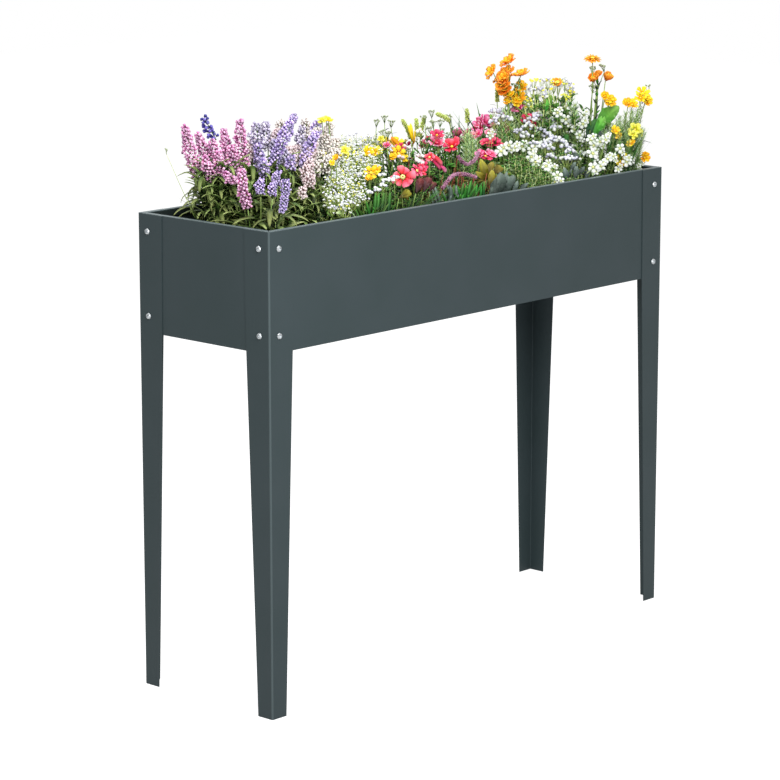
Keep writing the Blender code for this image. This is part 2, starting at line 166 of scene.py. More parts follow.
def coatPaint(name, look):  # satin powder coat, with a painted highlight along the rim and the bends, and painted shade on the inside faces
    paint, tree, shader = newPaint(name, {"Roughness": look["roughness"], "Specular IOR Level": look["shine"]})
    slate = addRamp(tree, addNoise(tree, look["cloudScale"], 2.0), [(0.3, look["dark"]), (0.7, look["light"])])
    place = addNode(tree, "TexCoord", {})
    along = addNode(tree, "SeparateXYZ", {0: place.outputs["Object"]}).outputs
    fromX, fromY = (addMath(tree, "ABSOLUTE", along[axis]) for axis in "XY")
    # a band along the rim and the bends of the legs is mixed towards a pale colour: a painted highlight
    onRim = addMath(tree, "GREATER_THAN", along["Z"], rimHeight - look["highlightBand"] * 0.3)
    fromMiddle = addMath(tree, "ADD", fromX, fromY)
    onBend = addMath(tree, "GREATER_THAN", fromMiddle, legCorner.x + legCorner.y - look["highlightBand"])
    highlightBand = addMath(tree, "MAXIMUM", onRim, addMath(tree, "MULTIPLY", onBend, look["bendHighlight"]))
    highlighted = addMix(tree, highlightBand, slate, look["edge"])
    # the faces inside the box, below the rim band, are mixed towards a dark colour: painted shade inside the box
    pastX, pastY = addMath(tree, "SUBTRACT", fromX, soilHigh.x), addMath(tree, "SUBTRACT", fromY, soilHigh.y)
    pastRim = addMath(tree, "SUBTRACT", along["Z"], rimHeight - look["highlightBand"])
    past = addMath(tree, "MAXIMUM", addMath(tree, "MAXIMUM", pastX, pastY), pastRim)
    inside = addMath(tree, "LESS_THAN", past, look["sheet"])
    feed(tree, shader, {"Base Color": addMix(tree, inside, highlighted, look["paintedShade"])})
    addBump(tree, shader, addNoise(tree, look["peelScale"], 2.0), look["peel"], look["peelHeight"])  # fine orange peel
    return paint


def grainPaint(name, look):  # zinc and soil: one noise gives the colour and the bump
    paint, tree, shader = newPaint(name, look["sockets"])
    grain = addNoise(tree, look["scale"], look["detail"])
    feed(tree, shader, {"Base Color": addRamp(tree, grain, look["stops"])})
    addBump(tree, shader, grain, *look["bump"])
    return paint


finishes = {  # root, middle and edge colour, spread of tone, swing of hue, lightness and width of the midrib
    "pinkFloret": ((148, 64, 118), (210, 124, 180), (236, 190, 222), 0.9, 0.03),
    "violetFloret": ((100, 80, 150), (160, 138, 202), (206, 192, 232), 0.9, 0.04),
    "greyVioletFloret": ((120, 110, 152), (174, 164, 196), (214, 208, 226), 0.8, 0.03),
    "indigoFloret": ((24, 20, 84), (62, 56, 150), (120, 112, 196), 0.8),
    "creamFloret": ((176, 154, 148), (212, 200, 194), (230, 226, 220), 0.4),
    "blushFloret": ((180, 138, 146), (214, 188, 190), (232, 218, 220), 0.4),
    "whitePetal": ((176, 190, 140), (224, 230, 222), (236, 240, 236), 0.1, 0.0),
    "cloudPetal": ((178, 190, 152), (204, 212, 204), (226, 230, 226), 0.55, 0.0),
    "lilacBead": ((156, 164, 146), (194, 194, 214), (220, 220, 234), 0.4),
    "yellowPetal": ((232, 162, 12), (246, 204, 20), (250, 226, 60), 0.25, 0.03),
    "limePetal": ((178, 186, 30), (232, 228, 56), (246, 242, 120), 0.25),
    "orangePetal": ((240, 112, 10), (253, 146, 24), (255, 174, 56), 0.25, 0.03),
    "amberPetal": ((244, 140, 8), (253, 176, 22), (255, 204, 54), 0.25, 0.03),
    "coralPetal": ((186, 24, 52), (232, 62, 98), (246, 130, 160), 0.35, 0.03),
    "redPetal": ((146, 6, 44), (214, 24, 76), (242, 80, 124), 0.35, 0.03),
    "pinkPetal": ((206, 44, 92), (236, 96, 140), (248, 188, 214), 0.3, 0.03),
    "magentaPetal": ((160, 18, 66), (220, 56, 118), (242, 134, 184), 0.4, 0.03),
    "mauveCatkin": ((92, 46, 70), (150, 88, 122), (206, 160, 186), 0.6),
    "goldEye": ((190, 130, 16), (238, 190, 36), (252, 226, 90), 0.2),
    "limeEye": ((160, 170, 60), (206, 208, 110), (228, 226, 150), 0.2),
    "wineEye": ((70, 12, 14), (130, 26, 26), (176, 60, 40), 0.2),
    # the strap leaf runs from a near-black foot, painted shade deep in the tuft, to a pale tip that is partly the
    # leaf's own paler tip and partly a painted highlight
    "strapLeaf": ((12, 24, 8), (72, 98, 38), (176, 192, 116), 0.7, 0.04, 0.75, 0.2),
    "freshLeaf": ((24, 68, 20), (74, 138, 42), (140, 192, 88), 0.6, 0.05, 1.3),
    "bladeLeaf": ((6, 42, 8), (22, 88, 18), (64, 134, 44), 0.5, 0.03, 1.3),
    "wineLeaf": ((28, 8, 8), (70, 20, 20), (122, 46, 38), 0.6, 0.02, 1.3),
    "paleLeaf": ((104, 146, 82), (162, 200, 132), (214, 230, 182), 0.5, 0.04, 1.1),
    "deepLeaf": ((8, 24, 10), (28, 62, 24), (74, 114, 52), 0.8, 0.05, 1.3),
    "greyLeaf": ((20, 30, 28), (52, 66, 60), (108, 124, 114), 0.4, 0.02, 1.2),
    "oliveLeaf": ((44, 30, 6), (102, 92, 16), (168, 160, 54), 0.4, 0.02, 0.75),
    "grassLeaf": ((4, 22, 6), (18, 66, 16), (74, 126, 46), 0.8, 0.05, 1.25),
    "budGreen": ((90, 104, 66), (136, 150, 110), (182, 192, 160), 0.4),
    "limeSpike": ((120, 146, 40), (174, 194, 84), (214, 224, 140), 0.4),
    "stemGreen": ((40, 58, 20), (92, 122, 50), (150, 176, 98), 0.5),
    "stemPale": ((112, 142, 60), (172, 194, 104), (208, 220, 146), 0.4),
    "stemWine": ((64, 18, 16), (112, 40, 32), (140, 72, 52), 0.4),
}
paints = {name: growthPaint(name, *row) for name, row in finishes.items()}
# the pale colour paints a highlight on the rim and the bends, and the darkest colour paints shade on the inside faces
coat = coatPaint("slateCoat", {
    "dark": tint(54, 66, 68), "light": tint(58, 69, 72), "edge": tint(92, 104, 106), "paintedShade": tint(34, 42, 42),
    "highlightBand": 0.0024, "bendHighlight": 0.6, "sheet": 0.0006, "roughness": 0.42, "shine": 0.14,
    "cloudScale": 9.0, "peelScale": 900.0, "peel": 0.18, "peelHeight": 0.0004})
zinc = grainPaint("zincPlate", {
    "sockets": {"Roughness": 0.34, "Metallic": 1.0}, "scale": 400.0, "detail": 3.0, "bump": (0.1, 0.0002),
    "stops": [(0.3, tint(158, 163, 166)), (0.7, tint(182, 186, 188))]})
earth = grainPaint("pottingSoil", {
    "sockets": {"Roughness": 0.95, "Specular IOR Level": 0.15}, "scale": 130.0, "detail": 6.0, "bump": (0.9, 0.004),
    "stops": [(0.25, tint(16, 11, 8)), (0.55, tint(48, 34, 25)), (0.8, tint(84, 62, 45))]})
print("finishes ready:", len(paints) + 3)


def readyUnit(unit, paint, uvOf):  # UV along the blade, the tone that each copy gets, smooth faces
    mesh = unit.data
    for extra in [layer.name for layer in mesh.uv_layers]:
        mesh.uv_layers.remove(mesh.uv_layers[extra])
    layer = mesh.uv_layers.new(name="blade")
    for loop, spot in zip(mesh.loops, layer.data):
        spot.uv = uvOf(mesh.vertices[loop.vertex_index].co)
    mesh.attributes.new("tone", "FLOAT", "POINT")
    mesh.materials.append(paint)
    mesh.polygons.foreach_set("use_smooth", [True] * len(mesh.polygons))
    unit.hide_render = True
    return unit


def drawOut(name, sides, radius, steps, upright=False):  # a disc extruded and resized ring by ring
    clearPick()
    bpy.ops.mesh.primitive_circle_add(vertices=sides, radius=radius, fill_type="NGON",
                                      rotation=(math.pi / 2 if upright else 0, 0, 0))
    form = bpy.context.object
    form.name = name
    bpy.ops.object.transform_apply(location=False, rotation=True, scale=False)
    bpy.ops.object.mode_set(mode="EDIT")
    for shift, size, centre in steps:
        if shift:
            bpy.ops.mesh.extrude_region_move(TRANSFORM_OT_translate={"value": shift})
        bpy.ops.transform.resize(value=size, center_override=centre)
    bpy.ops.mesh.select_all(action="SELECT")
    bpy.ops.mesh.normals_make_consistent(inside=False)
    bpy.ops.object.mode_set(mode="OBJECT")
    return form


def modelBlade(name, look, paint, curl):  # closed blade along +Y, its upper face on +Z, folded, ruffled and curled
    length, width, thick, sides, fold, ruffle, rings = look
    body = [0.4 + 0.6 * wide for share, wide in rings]  # thinner towards the tip
    steps = [(None, (width * rings[0][1], 1, thick * body[0]), (0, 0, 0))]
    for i, ((share, wide), (nextShare, nextWide)) in enumerate(zip(rings, rings[1:])):
        steps.append(((0, length * (nextShare - share), 0), (nextWide / wide, 1, body[i + 1] / body[i]),
                      (0, length * nextShare, 0)))
    blade = drawOut(name, sides, 0.5, steps, upright=True)
    blade["reach"] = length
    readyUnit(blade, paints[paint], lambda co: (co.x / width + 0.5, min(max(co.y / length, 0.0), 1.0)))
    for vertex in blade.data.vertices:
        x, y, z = vertex.co
        z += fold * abs(x) + ruffle * math.sin(9 * y / length + 5 * x / width) * abs(x) / width
        turn = curl * (y / length)
        reach = length / curl if curl else 0.0
        vertex.co = (x, (reach - z) * math.sin(turn), reach - (reach - z) * math.cos(turn)) if reach else (x, y, z)
    return blade


def modelBead(name, look, paint):  # small bud, floret or eye standing on +Z, drawn into lobes
    lobes, height, radius, depth, outwards, rings = look
    steps = [(None, (radius * rings[0][1], radius * rings[0][1], 1), (0, 0, 0))]
    for (level, wide), (nextLevel, nextWide) in zip(rings, rings[1:]):
        steps.append(((0, 0, height * (nextLevel - level)), (nextWide / wide, nextWide / wide, 1),
                      (0, 0, height * nextLevel)))
    bead = drawOut(name, lobes * 2, 1.0, steps)
    readyUnit(bead, paints[paint], lambda co: (
        0.5, min(math.hypot(co.x, co.y) / radius if outwards else max(co.z / height, 0.0), 1.0)))
    for vertex in bead.data.vertices:
        x, y, z = vertex.co
        notch = 1.0 - depth * (0.5 - 0.5 * math.cos(lobes * math.atan2(y, x)))
        vertex.co = (x * notch, y * notch, z)
    return bead


def modelStem(name, sides, taper, paint):  # tapered stem of length 1 up +Z, with as many rings as sides
    steps = [((0, 0, 1 / sides), (taper, taper, 1), (0, 0, (step + 1) / sides)) for step in range(sides)]
    return readyUnit(drawOut(name, sides, 1.0, steps), paints[paint], lambda co: (0.5, co.z))


clearance = {"leanX": 0.532, "leanY": 0.163, "fold": 0.0072, "foldDepth": 0.014, "wall": 0.0012, "overRim": 0.003}


def inOpenAir(mesh):  # nothing may cut through the panels and their folded rim, or lean far past it
    for vertex in mesh.vertices:
        x, y, z = vertex.co
        if abs(y) > clearance["leanY"] or abs(x) > clearance["leanX"]:
            return False
        clear = clearance["fold" if z > rimHeight - clearance["foldDepth"] else "wall"]
        if z < rimHeight + clearance["overRim"] and (abs(y) > soilHigh.y - clear or abs(x) > soilHigh.x - clear):
            return False
    return True


def gather(name, copies, guarded=False):  # one mesh from many placed copies: (unit, matrix, tone)
    joined = bmesh.new()
    used = []
    for unit, place, tone in copies:
        mesh = unit.data.copy()
        mesh.transform(place)
        if guarded and not inOpenAir(mesh):
            bpy.data.meshes.remove(mesh)
            continue
        order = []
        for paint in unit.data.materials:
            if paint not in used:
                used.append(paint)
            order.append(used.index(paint))
        if order != list(range(len(order))):
            for face in mesh.polygons:
                face.material_index = order[face.material_index]
        tones = [tone] * len(mesh.vertices)
        if unit.get("mixed"):
            own = [0.0] * len(mesh.vertices)
            mesh.attributes["tone"].data.foreach_get("value", own)
            tones = [0.5 * ownTone + 0.5 * tone for ownTone in own]
        mesh.attributes["tone"].data.foreach_set("value", tones)
        joined.from_mesh(mesh)
        bpy.data.meshes.remove(mesh)
    mesh = bpy.data.meshes.new(name)
    joined.to_mesh(mesh)
    joined.free()
    for paint in used:
        mesh.materials.append(paint)
    piece = bpy.data.objects.new(name, mesh)
    bpy.context.scene.collection.objects.link(piece)
    return piece


def plantPiece(name, copies, slot, *stands):
    piece = gather(name, copies, guarded=True)
    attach(piece, "root")
    if stands:
        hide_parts(*stands)
    print(f"{name}: {len(copies)} copies, {sum(len(face.vertices) - 2 for face in piece.data.polygons)} triangles")


def modelGroup(name, copies):
    group = gather(name, copies)
    group["mixed"] = 1
    group.hide_render = True
    return group


def turnTo(direction, spin, axis="Z"):  # matrix whose +Z (or +Y) runs along the direction
    direction = Vector(direction).normalized()
    turned = direction.to_track_quat(axis, "Y" if axis == "Z" else "Z").to_matrix().to_4x4()
    return turned @ Matrix.Rotation(spin, 4, axis)


def placed(kind, spot, facing, spin, size, axis="Z"):  # a unit turned to face a way
    tone = random.random()
    return (units[kind], Matrix.Translation(spot) @ turnTo(facing, spin, axis) @ Matrix.Scale(size, 4), tone)


def laid(kind, foot, tip, face, slim=1.0):  # a blade stretched from foot to tip, its upper face turned to "face"
    unit = units[kind]
    run, face = Vector(tip) - Vector(foot), Vector(face)
    along = run.normalized()
    upper = (face - along * along.dot(face)).normalized()
    turned = Matrix((along.cross(upper), along, upper)).transposed().to_4x4()
    sized = Matrix.Scale(run.length / unit["reach"], 4) @ Matrix.Diagonal((slim, 1, 1, 1))
    return (unit, Matrix.Translation(foot) @ turned @ sized, random.random())


def wobble(amount):
    return Vector((random.uniform(-1, 1), random.uniform(-1, 1), random.uniform(-1, 1))) * amount


def stemBetween(kind, low, high, radius, bow=0.04, tone=None):  # a stem stretched and bowed between two points
    low, high = Vector(low), Vector(high)
    run = high - low
    mesh = units[kind].data.copy()
    for vertex in mesh.vertices:
        x, y, z = vertex.co
        vertex.co = (x * radius + bow * run.length * math.sin(math.pi * z), y * radius, z * run.length)
    holder = bpy.data.objects.new("stemCopy", mesh)
    place = Matrix.Translation(low) @ turnTo(run, random.uniform(0, 2 * math.pi))
    return (holder, place, random.random() if tone is None else tone)


flowerTops = {"middle": 0.845, "slope": 0.30}
rooting = {"x": 0.468, "y": 0.118, "looseX": 0.006, "looseY": 0.004}  # how far out stems leave the soil


def rootOf(spot, pull=0.3):  # where the stem of a flower leaves the soil, pulled towards the middle of the box
    x = spot[0] * (1 - 0.1 * pull) + random.uniform(-rooting["looseX"], rooting["looseX"])
    y = spot[1] * (1 - pull) + random.uniform(-rooting["looseY"], rooting["looseY"])
    return Vector((min(max(x, -rooting["x"]), rooting["x"]), min(max(y, -rooting["y"]), rooting["y"]), rootLevel))


def addStem(copies, stem, spot, thick, bow=0.04, pull=0.3):  # from the soil up to a spot
    copies.append(stemBetween(stem, rootOf(spot, pull), spot, thick, bow))


def addLeaf(copies, leaf, spot, spread, lean, size):
    copies.append(placed(leaf, spot, wobble(spread) + Vector(lean), 0, size, axis="Y"))


def bedTop(y):  # how high the flowers stand: they rise towards the back
    return flowerTops["middle"] + flowerTops["slope"] * y


bladeLooks = {  # length, width, thickness, sides, fold along the midrib, ruffle, outline (share of length, of width)
    "strap": (0.040, 0.0060, 0.0008, 4, 0.30, 0.0,
              [(0, 0.45), (0.16, 0.75), (0.36, 1.0), (0.6, 1.0), (0.8, 0.8), (0.93, 0.5), (1, 0.15)]),
    "grass": (0.090, 0.0034, 0.0005, 3, 0.3, 0.0, [(0, 0.7), (0.35, 1.0), (0.7, 0.75), (1, 0.08)]),
    "blade": (0.080, 0.0130, 0.0008, 4, 0.22, 0.0, [(0, 0.6), (0.35, 1.0), (0.7, 0.88), (0.9, 0.5), (1, 0.08)]),
    "broad": (0.060, 0.026, 0.0009, 6, 0.62, 0.006,
              [(0, 0.10), (0.14, 0.34), (0.32, 0.86), (0.52, 1.0), (0.72, 0.80), (0.9, 0.38), (1, 0.05)]),
    "long": (0.060, 0.021, 0.0009, 6, 0.75, 0.006,
             [(0, 0.14), (0.14, 0.42), (0.3, 0.84), (0.46, 1.0), (0.66, 0.78), (0.86, 0.36), (1, 0.03)]),
    "small": (0.019, 0.0078, 0.0005, 3, 0.25, 0.0, [(0, 0.2), (0.35, 0.95), (0.7, 0.80), (1, 0.08)]),
    "needle": (0.0075, 0.0011, 0.0006, 3, 0.0, 0.0, [(0, 0.8), (1, 0.2)]),
}
leaves = {  # kind of blade, finish, curl
    "strap": ("strap", "strapLeaf", -1.6), "strapArch": ("strap", "strapLeaf", -2.4),
    "strapUp": ("strap", "strapLeaf", -0.9), "strapHook": ("strap", "strapLeaf", -3.3),
    "grass": ("grass", "grassLeaf", -0.5), "grassArch": ("grass", "grassLeaf", -1.4),
    "oliveGrass": ("grass", "strapLeaf", -0.9), "greenBlade": ("blade", "grassLeaf", -0.45),
    "brightBlade": ("blade", "bladeLeaf", -0.45), "greyBlade": ("blade", "greyLeaf", -0.45),
    "freshLong": ("long", "freshLeaf", -0.7), "deepLong": ("long", "deepLeaf", -0.7),
    "greyLong": ("long", "greyLeaf", -0.5), "freshNeedle": ("needle", "freshLeaf", 0),
    "deepNeedle": ("needle", "deepLeaf", 0), "mauveNeedle": ("needle", "mauveCatkin", 0),
    "paleNeedle": ("needle", "limeSpike", 0), "mintNeedle": ("needle", "paleLeaf", 0),
}
for colour in ("fresh", "deep", "grey", "olive", "pale", "wine"):
    leaves[colour + "Broad"] = ("broad", colour + "Leaf", -0.8)
    leaves[colour + "Small"] = ("small", colour + "Leaf", -0.6)
units = {name: modelBlade(name + "Unit", bladeLooks[kind], paint, curl) for name, (kind, paint, curl) in leaves.items()}
print("leaves modelled")

beadLooks = {  # lobes, height, radius, depth of the notches, whether colour runs outwards, profile (height, radius)
    "floret": (4, 0.0050, 0.0028, 0.34, False, [(0, 0.40), (0.7, 1.0), (1.0, 0.55)]),
    "bud": (3, 0.0042, 0.0020, 0.12, False, [(0, 0.4), (0.35, 1.0), (0.75, 0.85), (1.0, 0.25)]),
    "star": (5, 0.0022, 0.0036, 0.42, True, [(0, 0.25), (0.6, 1.0), (1.0, 0.82), (0.66, 0.28)]),
    "pearl": (4, 0.0046, 0.0030, 0.16, False, [(0, 0.45), (0.35, 1.0), (0.8, 0.85), (1.0, 0.35)]),
    "eye": (4, 0.45, 0.62, 0.08, False, [(0, 1.0), (0.5, 0.95), (1.0, 0.5)]),
}
beadFinishes = {
    "floret": "pinkFloret violetFloret greyVioletFloret indigoFloret creamFloret blushFloret",
    "star": "cloudPetal whitePetal lilacBead limePetal", "pearl": "whitePetal lilacBead blushFloret",
    "bud": "budGreen limeSpike mauveCatkin limePetal", "eye": "goldEye limeEye wineEye"}
for kind, names in beadFinishes.items():
    for paint in names.split():
        units[kind + ":" + paint] = modelBead(kind + paint, beadLooks[kind], paint)
for paint in ("stemGreen", "stemPale", "stemWine"):
    units[paint] = modelStem(paint + "Unit", 5, 0.92, paint)
    units[paint + "Thin"] = modelStem(paint + "ThinUnit", 3, 0.85, paint)
print("florets and stems modelled")

petals = {  # curl, colours, and the same measures as a leaf blade
    "round": (-0.5, "white lime", (
        0.0088, 0.0086, 0.0006, 6, 0.10, 0.0, [(0, 0.28), (0.35, 0.80), (0.75, 1.0), (1, 0.45)])),
    "wide": (-0.6, "coral yellow", (0.0185, 0.0165, 0.0008, 6, -0.15, 0.004, [
        (0, 0.16), (0.25, 0.52), (0.6, 0.95), (0.85, 1.0), (0.97, 0.80), (1, 0.45)])),
    "slim": (-0.4, "orange amber coral yellow pink", (
        0.0115, 0.0046, 0.0005, 4, 0.15, 0.0, [(0, 0.45), (0.5, 0.95), (0.85, 0.9), (1, 0.35)])),
    "plate": (0.45, "red orange amber yellow magenta pink coral", (
        0.0125, 0.0105, 0.0006, 6, 0.12, 0.004, [(0, 0.30), (0.45, 0.80), (0.8, 1.0), (1, 0.55)])),
}
for kind, (curl, colours, look) in petals.items():
    for colour in colours.split():
        units[kind + ":" + colour] = modelBlade(kind + colour, look, colour + "Petal", curl)


petalLoose, petalSize = 0.08, (0.9, 1.1)


def modelBlossom(name, eye, loose, middles, *rows):  # rows of petals round an eye, facing +Z
    copies = []
    for petal, count, lift, size, start in rows:
        for i in range(count):
            turn = 2 * math.pi * (i + start) / count + random.uniform(-petalLoose, petalLoose)
            tilt = lift + random.uniform(-1, 1) * loose
            place = (Matrix.Rotation(turn, 4, "Z") @ Matrix.Translation((0, eye * 0.5, 0))
                     @ Matrix.Rotation(tilt, 4, "X") @ Matrix.Scale(size * random.uniform(*petalSize), 4))
            copies.append((units[petal], place, random.random()))
    for i, middle in enumerate(middles.split()):  # the second one is a smaller core
        place = Matrix.Translation((0, 0, eye * 0.25 * i)) @ Matrix.Scale(eye * (1 - 0.5 * i), 4)
        copies.append((units["eye:" + middle], place, 0.5))
    units[name + "Flower"] = modelGroup(name + "Unit", copies)


blossoms = {  # size of the eye, looseness, finish of the eye and its core, rows of petal, count, lift, size and start
    "white": (0.0036, 0.15, "limeEye", ("round:white", 5, 0.22, 1.0, 0.0)),
    "lime": (0.003, 0.15, "goldEye", ("round:lime", 5, 0.3, 1.1, 0.0), ("round:lime", 5, 0.8, 0.8, 0.5)),
    "coral": (0.0085, 0.35, "limeEye wineEye", ("wide:coral", 4, 0.35, 1.0, 0.0), ("wide:coral", 4, 0.15, 0.8, 0.5)),
    "red": (0.0040, 0.3, "goldEye", ("plate:red", 6, 0.30, 1.1, 0.0), ("plate:coral", 3, 0.6, 0.8, 0.3)),
    "pink": (0.0032, 0.35, "wineEye", ("plate:pink", 6, 0.35, 1.05, 0.0), ("plate:coral", 5, 0.7, 0.7, 0.5)),
    "magenta": (0.0030, 0.4, "wineEye", ("plate:magenta", 5, 0.40, 1.15, 0.0), ("plate:pink", 4, 0.85, 0.8, 0.4)),
    "orange": (0.0040, 0.2, "goldEye", ("plate:orange", 8, 0.15, 1.1, 0.0), ("plate:amber", 6, 0.7, 0.8, 0.5)),
    "amber": (0.0040, 0.25, "goldEye", ("plate:amber", 7, 0.25, 1.0, 0.0), ("plate:yellow", 5, 0.8, 0.75, 0.5)),
    "yellow": (0.0035, 0.25, "goldEye", ("plate:yellow", 6, 0.40, 0.9, 0.0)),
    "trumpet": (0.0070, 0.25, "goldEye", ("wide:yellow", 6, 0.75, 0.8, 0.0)),
    "daisy": (0.0065, 0.1, "goldEye", ("slim:orange", 18, 0.05, 1.15, 0.0), ("slim:amber", 14, 0.35, 0.9, 0.5),
              ("slim:orange", 10, 0.75, 0.7, 0.3)),
    "cup": (0.0040, 0.15, "goldEye", ("plate:orange", 6, 0.95, 1.1, 0.0), ("plate:amber", 4, 1.25, 0.9, 0.5)),
}
for name, look in blossoms.items():
    modelBlossom(name, *look)
print("blossoms modelled")


# leafy stem standing on +Z, its leaves in a spiral
def modelSprig(name, height, size, count, kinds, stem="stemGreenThin", lift=0.6, bare=0.2, fade=0.5):
    top = Vector((0, 0, height))
    copies = [stemBetween(stem, (0, 0, 0), top, 0.0009, 0.0)]
    for k in range(count):
        share = bare + (0.98 - bare) * k / (count - 1)
        steep = lift * (0.6 + 0.6 * share) * random.uniform(0.7, 1.3)
        out = (math.cos(k * goldenTurn), math.sin(k * goldenTurn), steep)
        leafSize = size * (1.15 - fade * share) * random.uniform(0.85, 1.15)
        leaf = random.choice(kinds.split())
        copies.append(placed(leaf, top * share, out, random.uniform(-0.4, 0.4), leafSize, axis="Y"))
    units[name] = modelGroup(name + "Unit", copies)


strapKinds = "strap strap strapArch strapArch strapHook strapUp"
sprigs = {  # height, size and number of leaves, their kinds, stem, lift, leafless share at the foot, fade to the tip
    "strapTall": (0.078, 1.25, 11, strapKinds, "stemGreenThin", 1.6, 0.22, 0.2),
    "strapHigh": (0.100, 1.2, 14, strapKinds, "stemGreenThin", 1.8, 0.35, 0.2),
    "strapLow": (0.042, 1.25, 8, strapKinds, "stemGreenThin", 1.3, 0.1, 0.2),
    "deepSprig": (0.070, 1.1, 13, "deepSmall"),
    "freshSprig": (0.065, 1.0, 13, "freshSmall"),
    "fineSprig": (0.060, 0.75, 20, "freshSmall paleSmall", "stemPaleThin"),
    "greySprig": (0.055, 1.2, 10, "greySmall", "stemPaleThin"),
    "oliveSprig": (0.050, 1.5, 10, "oliveSmall", "stemWineThin"),
    "wineSprig": (0.050, 1.0, 9, "wineSmall", "stemWineThin"),
    "tallSprig": (0.140, 1.0, 24, "freshSmall paleSmall paleSmall", "stemPaleThin", 1.0, 0.40, 0.3),
    "paleSprig": (0.115, 0.85, 22, "paleSmall freshSmall paleSmall", "stemPale", 1.1, 0.45, 0.3),
    "featherSprig": (0.070, 1.6, 60, "mintNeedle", "stemPaleThin", 0.9),
    "tallFeather": (0.130, 1.7, 80, "deepNeedle freshNeedle mintNeedle mintNeedle", "stemGreenThin", 0.9, 0.3),
}
for name, look in sprigs.items():
    modelSprig(name, *look)
print("sprigs modelled")


spikeForm = {"swell": (0.70, 0.30), "tipFrom": 0.62, "tipLength": 0.38, "tipSlim": 0.6, "bow": 0.004,
             "depth": (0.30, 0.95), "upward": (0.0, 0.6), "loose": 0.3, "size": (0.8, 1.2), "stem": 0.0010}


def addSpike(copies, floret, tip, foot, radius, size, perMillimetre):  # florets packed round a lavender stem
    tip, foot = Vector(tip), Vector(foot)
    axis = tip - foot
    along = axis.normalized()
    side = along.cross(Vector((0, 1, 0))).normalized()
    count = int(axis.length * 1000 * perMillimetre)
    for k in range(count):
        share = (k + 0.5) / count
        least, more = spikeForm["swell"]
        swell = least + more * math.sin(math.pi * min(1.0, 0.1 + 0.9 * share))
        swell *= 1.0 - spikeForm["tipSlim"] * max(0.0, (share - spikeForm["tipFrom"]) / spikeForm["tipLength"])
        out = Matrix.Rotation(k * goldenTurn, 3, along) @ side
        centre = foot.lerp(tip, share) + side * (spikeForm["bow"] * math.sin(math.pi * share))
        reach = radius * swell * random.uniform(*spikeForm["depth"])
        facing = out + along * random.uniform(*spikeForm["upward"]) + wobble(spikeForm["loose"])
        copies.append(placed("floret:" + floret, centre + out * reach, facing, random.random() * 6,
                             size * random.uniform(*spikeForm["size"])))
    copies.append(stemBetween("stemGreen", foot - along * 0.004, tip - along * 0.004, spikeForm["stem"], 0.0))


lavender = {  # spikes: x and z of the tip, x and z of the foot, y, all in mm, and the radius in tenths of a mm
    "pinkSpikes": {"floret": "pinkFloret", "slot": "pink_flower", "stands": ["pink_lavender"], "spikes": [
        (-449, 941, -419, 854, 90, 100), (-411, 924, -380, 876, 100, 70), (-398, 914, -373, 866, 80, 90),
        (-371, 930, -354, 876, 80, 68), (-363, 947, -356, 866, 50, 92), (-375, 904, -361, 858, 60, 85),
        (-416, 898, -392, 854, 50, 80), (-433, 892, -413, 854, 62, 70)]},
    "nearPinkSpikes": {"floret": "pinkFloret", "slot": "pink_flower", "perMillimetre": 1.7, "spikes": [
        (-449, 883, -437, 820, -40, 72), (-447, 874, -421, 858, 0, 65)]},
    "violetSpikes": {"floret": "violetFloret", "slot": "violet_flower", "stands": ["violet_lavender"], "spikes": [
        (-344, 908, -324, 852, 30, 85), (-267, 947, -318, 868, 20, 92), (-203, 914, -238, 857, 30, 90),
        (-150, 922, -155, 894, 80, 80), (-293, 886, -298, 862, 0, 80), (-351, 884, -344, 857, 10, 60)]},
    "nearVioletSpikes": {"floret": "violetFloret", "slot": "violet_flower", "size": 0.75, "perMillimetre": 2.4,
                         "spikes": [
        (-434, 869, -437, 845, -70, 68), (-404, 860, -409, 839, -70, 64), (-411, 814, -400, 868, -90, 68),
        (-365, 872, -370, 848, -40, 62)]},
    "greySpikes": {"floret": "greyVioletFloret", "slot": "violet_flower", "spikes": [
        (-280, 891, -282, 865, 30, 75), (-335, 939, -330, 898, 40, 105), (-206, 920, -211, 882, 60, 70),
        (-178, 910, -186, 870, 70, 85), (-294, 937, -289, 890, 60, 75), (-293, 907, -288, 875, 40, 70)]},
    "indigoSpike": {"floret": "indigoFloret", "slot": "violet_flower", "size": 1.3, "perMillimetre": 0.60, "spikes": [
        (-387, 949, -362, 912, 110, 42)]},
    "creamSpikes": {"floret": "creamFloret", "slot": "cream_flower", "stands": ["cream_lavender"], "spikes": [
        (-199, 932, -194, 894, 60, 80), (-128, 916, -151, 864, 70, 90), (-172, 876, -203, 844, 50, 85),
        (-258, 936, -256, 907, 60, 70), (-170, 915, -181, 883, 60, 75), (-151, 901, -144, 871, 60, 75),
        (-111, 890, -126, 863, 70, 75), (-212, 867, -220, 842, 20, 80), (-177, 871, -184, 841, 30, 80),
        (-142, 877, -158, 851, 40, 75)]},
    "blushSpikes": {"floret": "blushFloret", "slot": "cream_flower", "spikes": [
        (-240, 891, -243, 859, 50, 70), (-216, 891, -218, 859, 60, 70), (-280, 924, -278, 892, 50, 65),
        (-341, 910, -342, 874, 55, 70), (-262, 894, -265, 858, 40, 85), (-270, 854, -275, 832, -20, 75),
        (-320, 842, -317, 822, -50, 60), (-238, 874, -242, 848, 10, 70), (-216, 887, -230, 856, 30, 80),
        (-257, 866, -262, 840, 0, 75), (-194, 893, -202, 865, 45, 70), (-325, 911, -321, 872, 55, 70)]},
}
for name, look in lavender.items():
    copies = []
    size, perMillimetre = look.get("size", 1.0), look.get("perMillimetre", 1.8)
    for tipX, tipZ, footX, footZ, y, radius in look["spikes"]:
        tip, foot = metres(tipX, y, tipZ), metres(footX, y, footZ)
        addSpike(copies, look["floret"], tip, foot, radius / 10000, size, perMillimetre)
        addStem(copies, "stemGreen", min(tip, foot, key=lambda spot: spot[2]), thick=0.0014, pull=0.2)
    plantPiece(name, copies, look["slot"], *look.get("stands", []))


tuftForm = {"spread": 0.010, "bladeRise": 0.062}


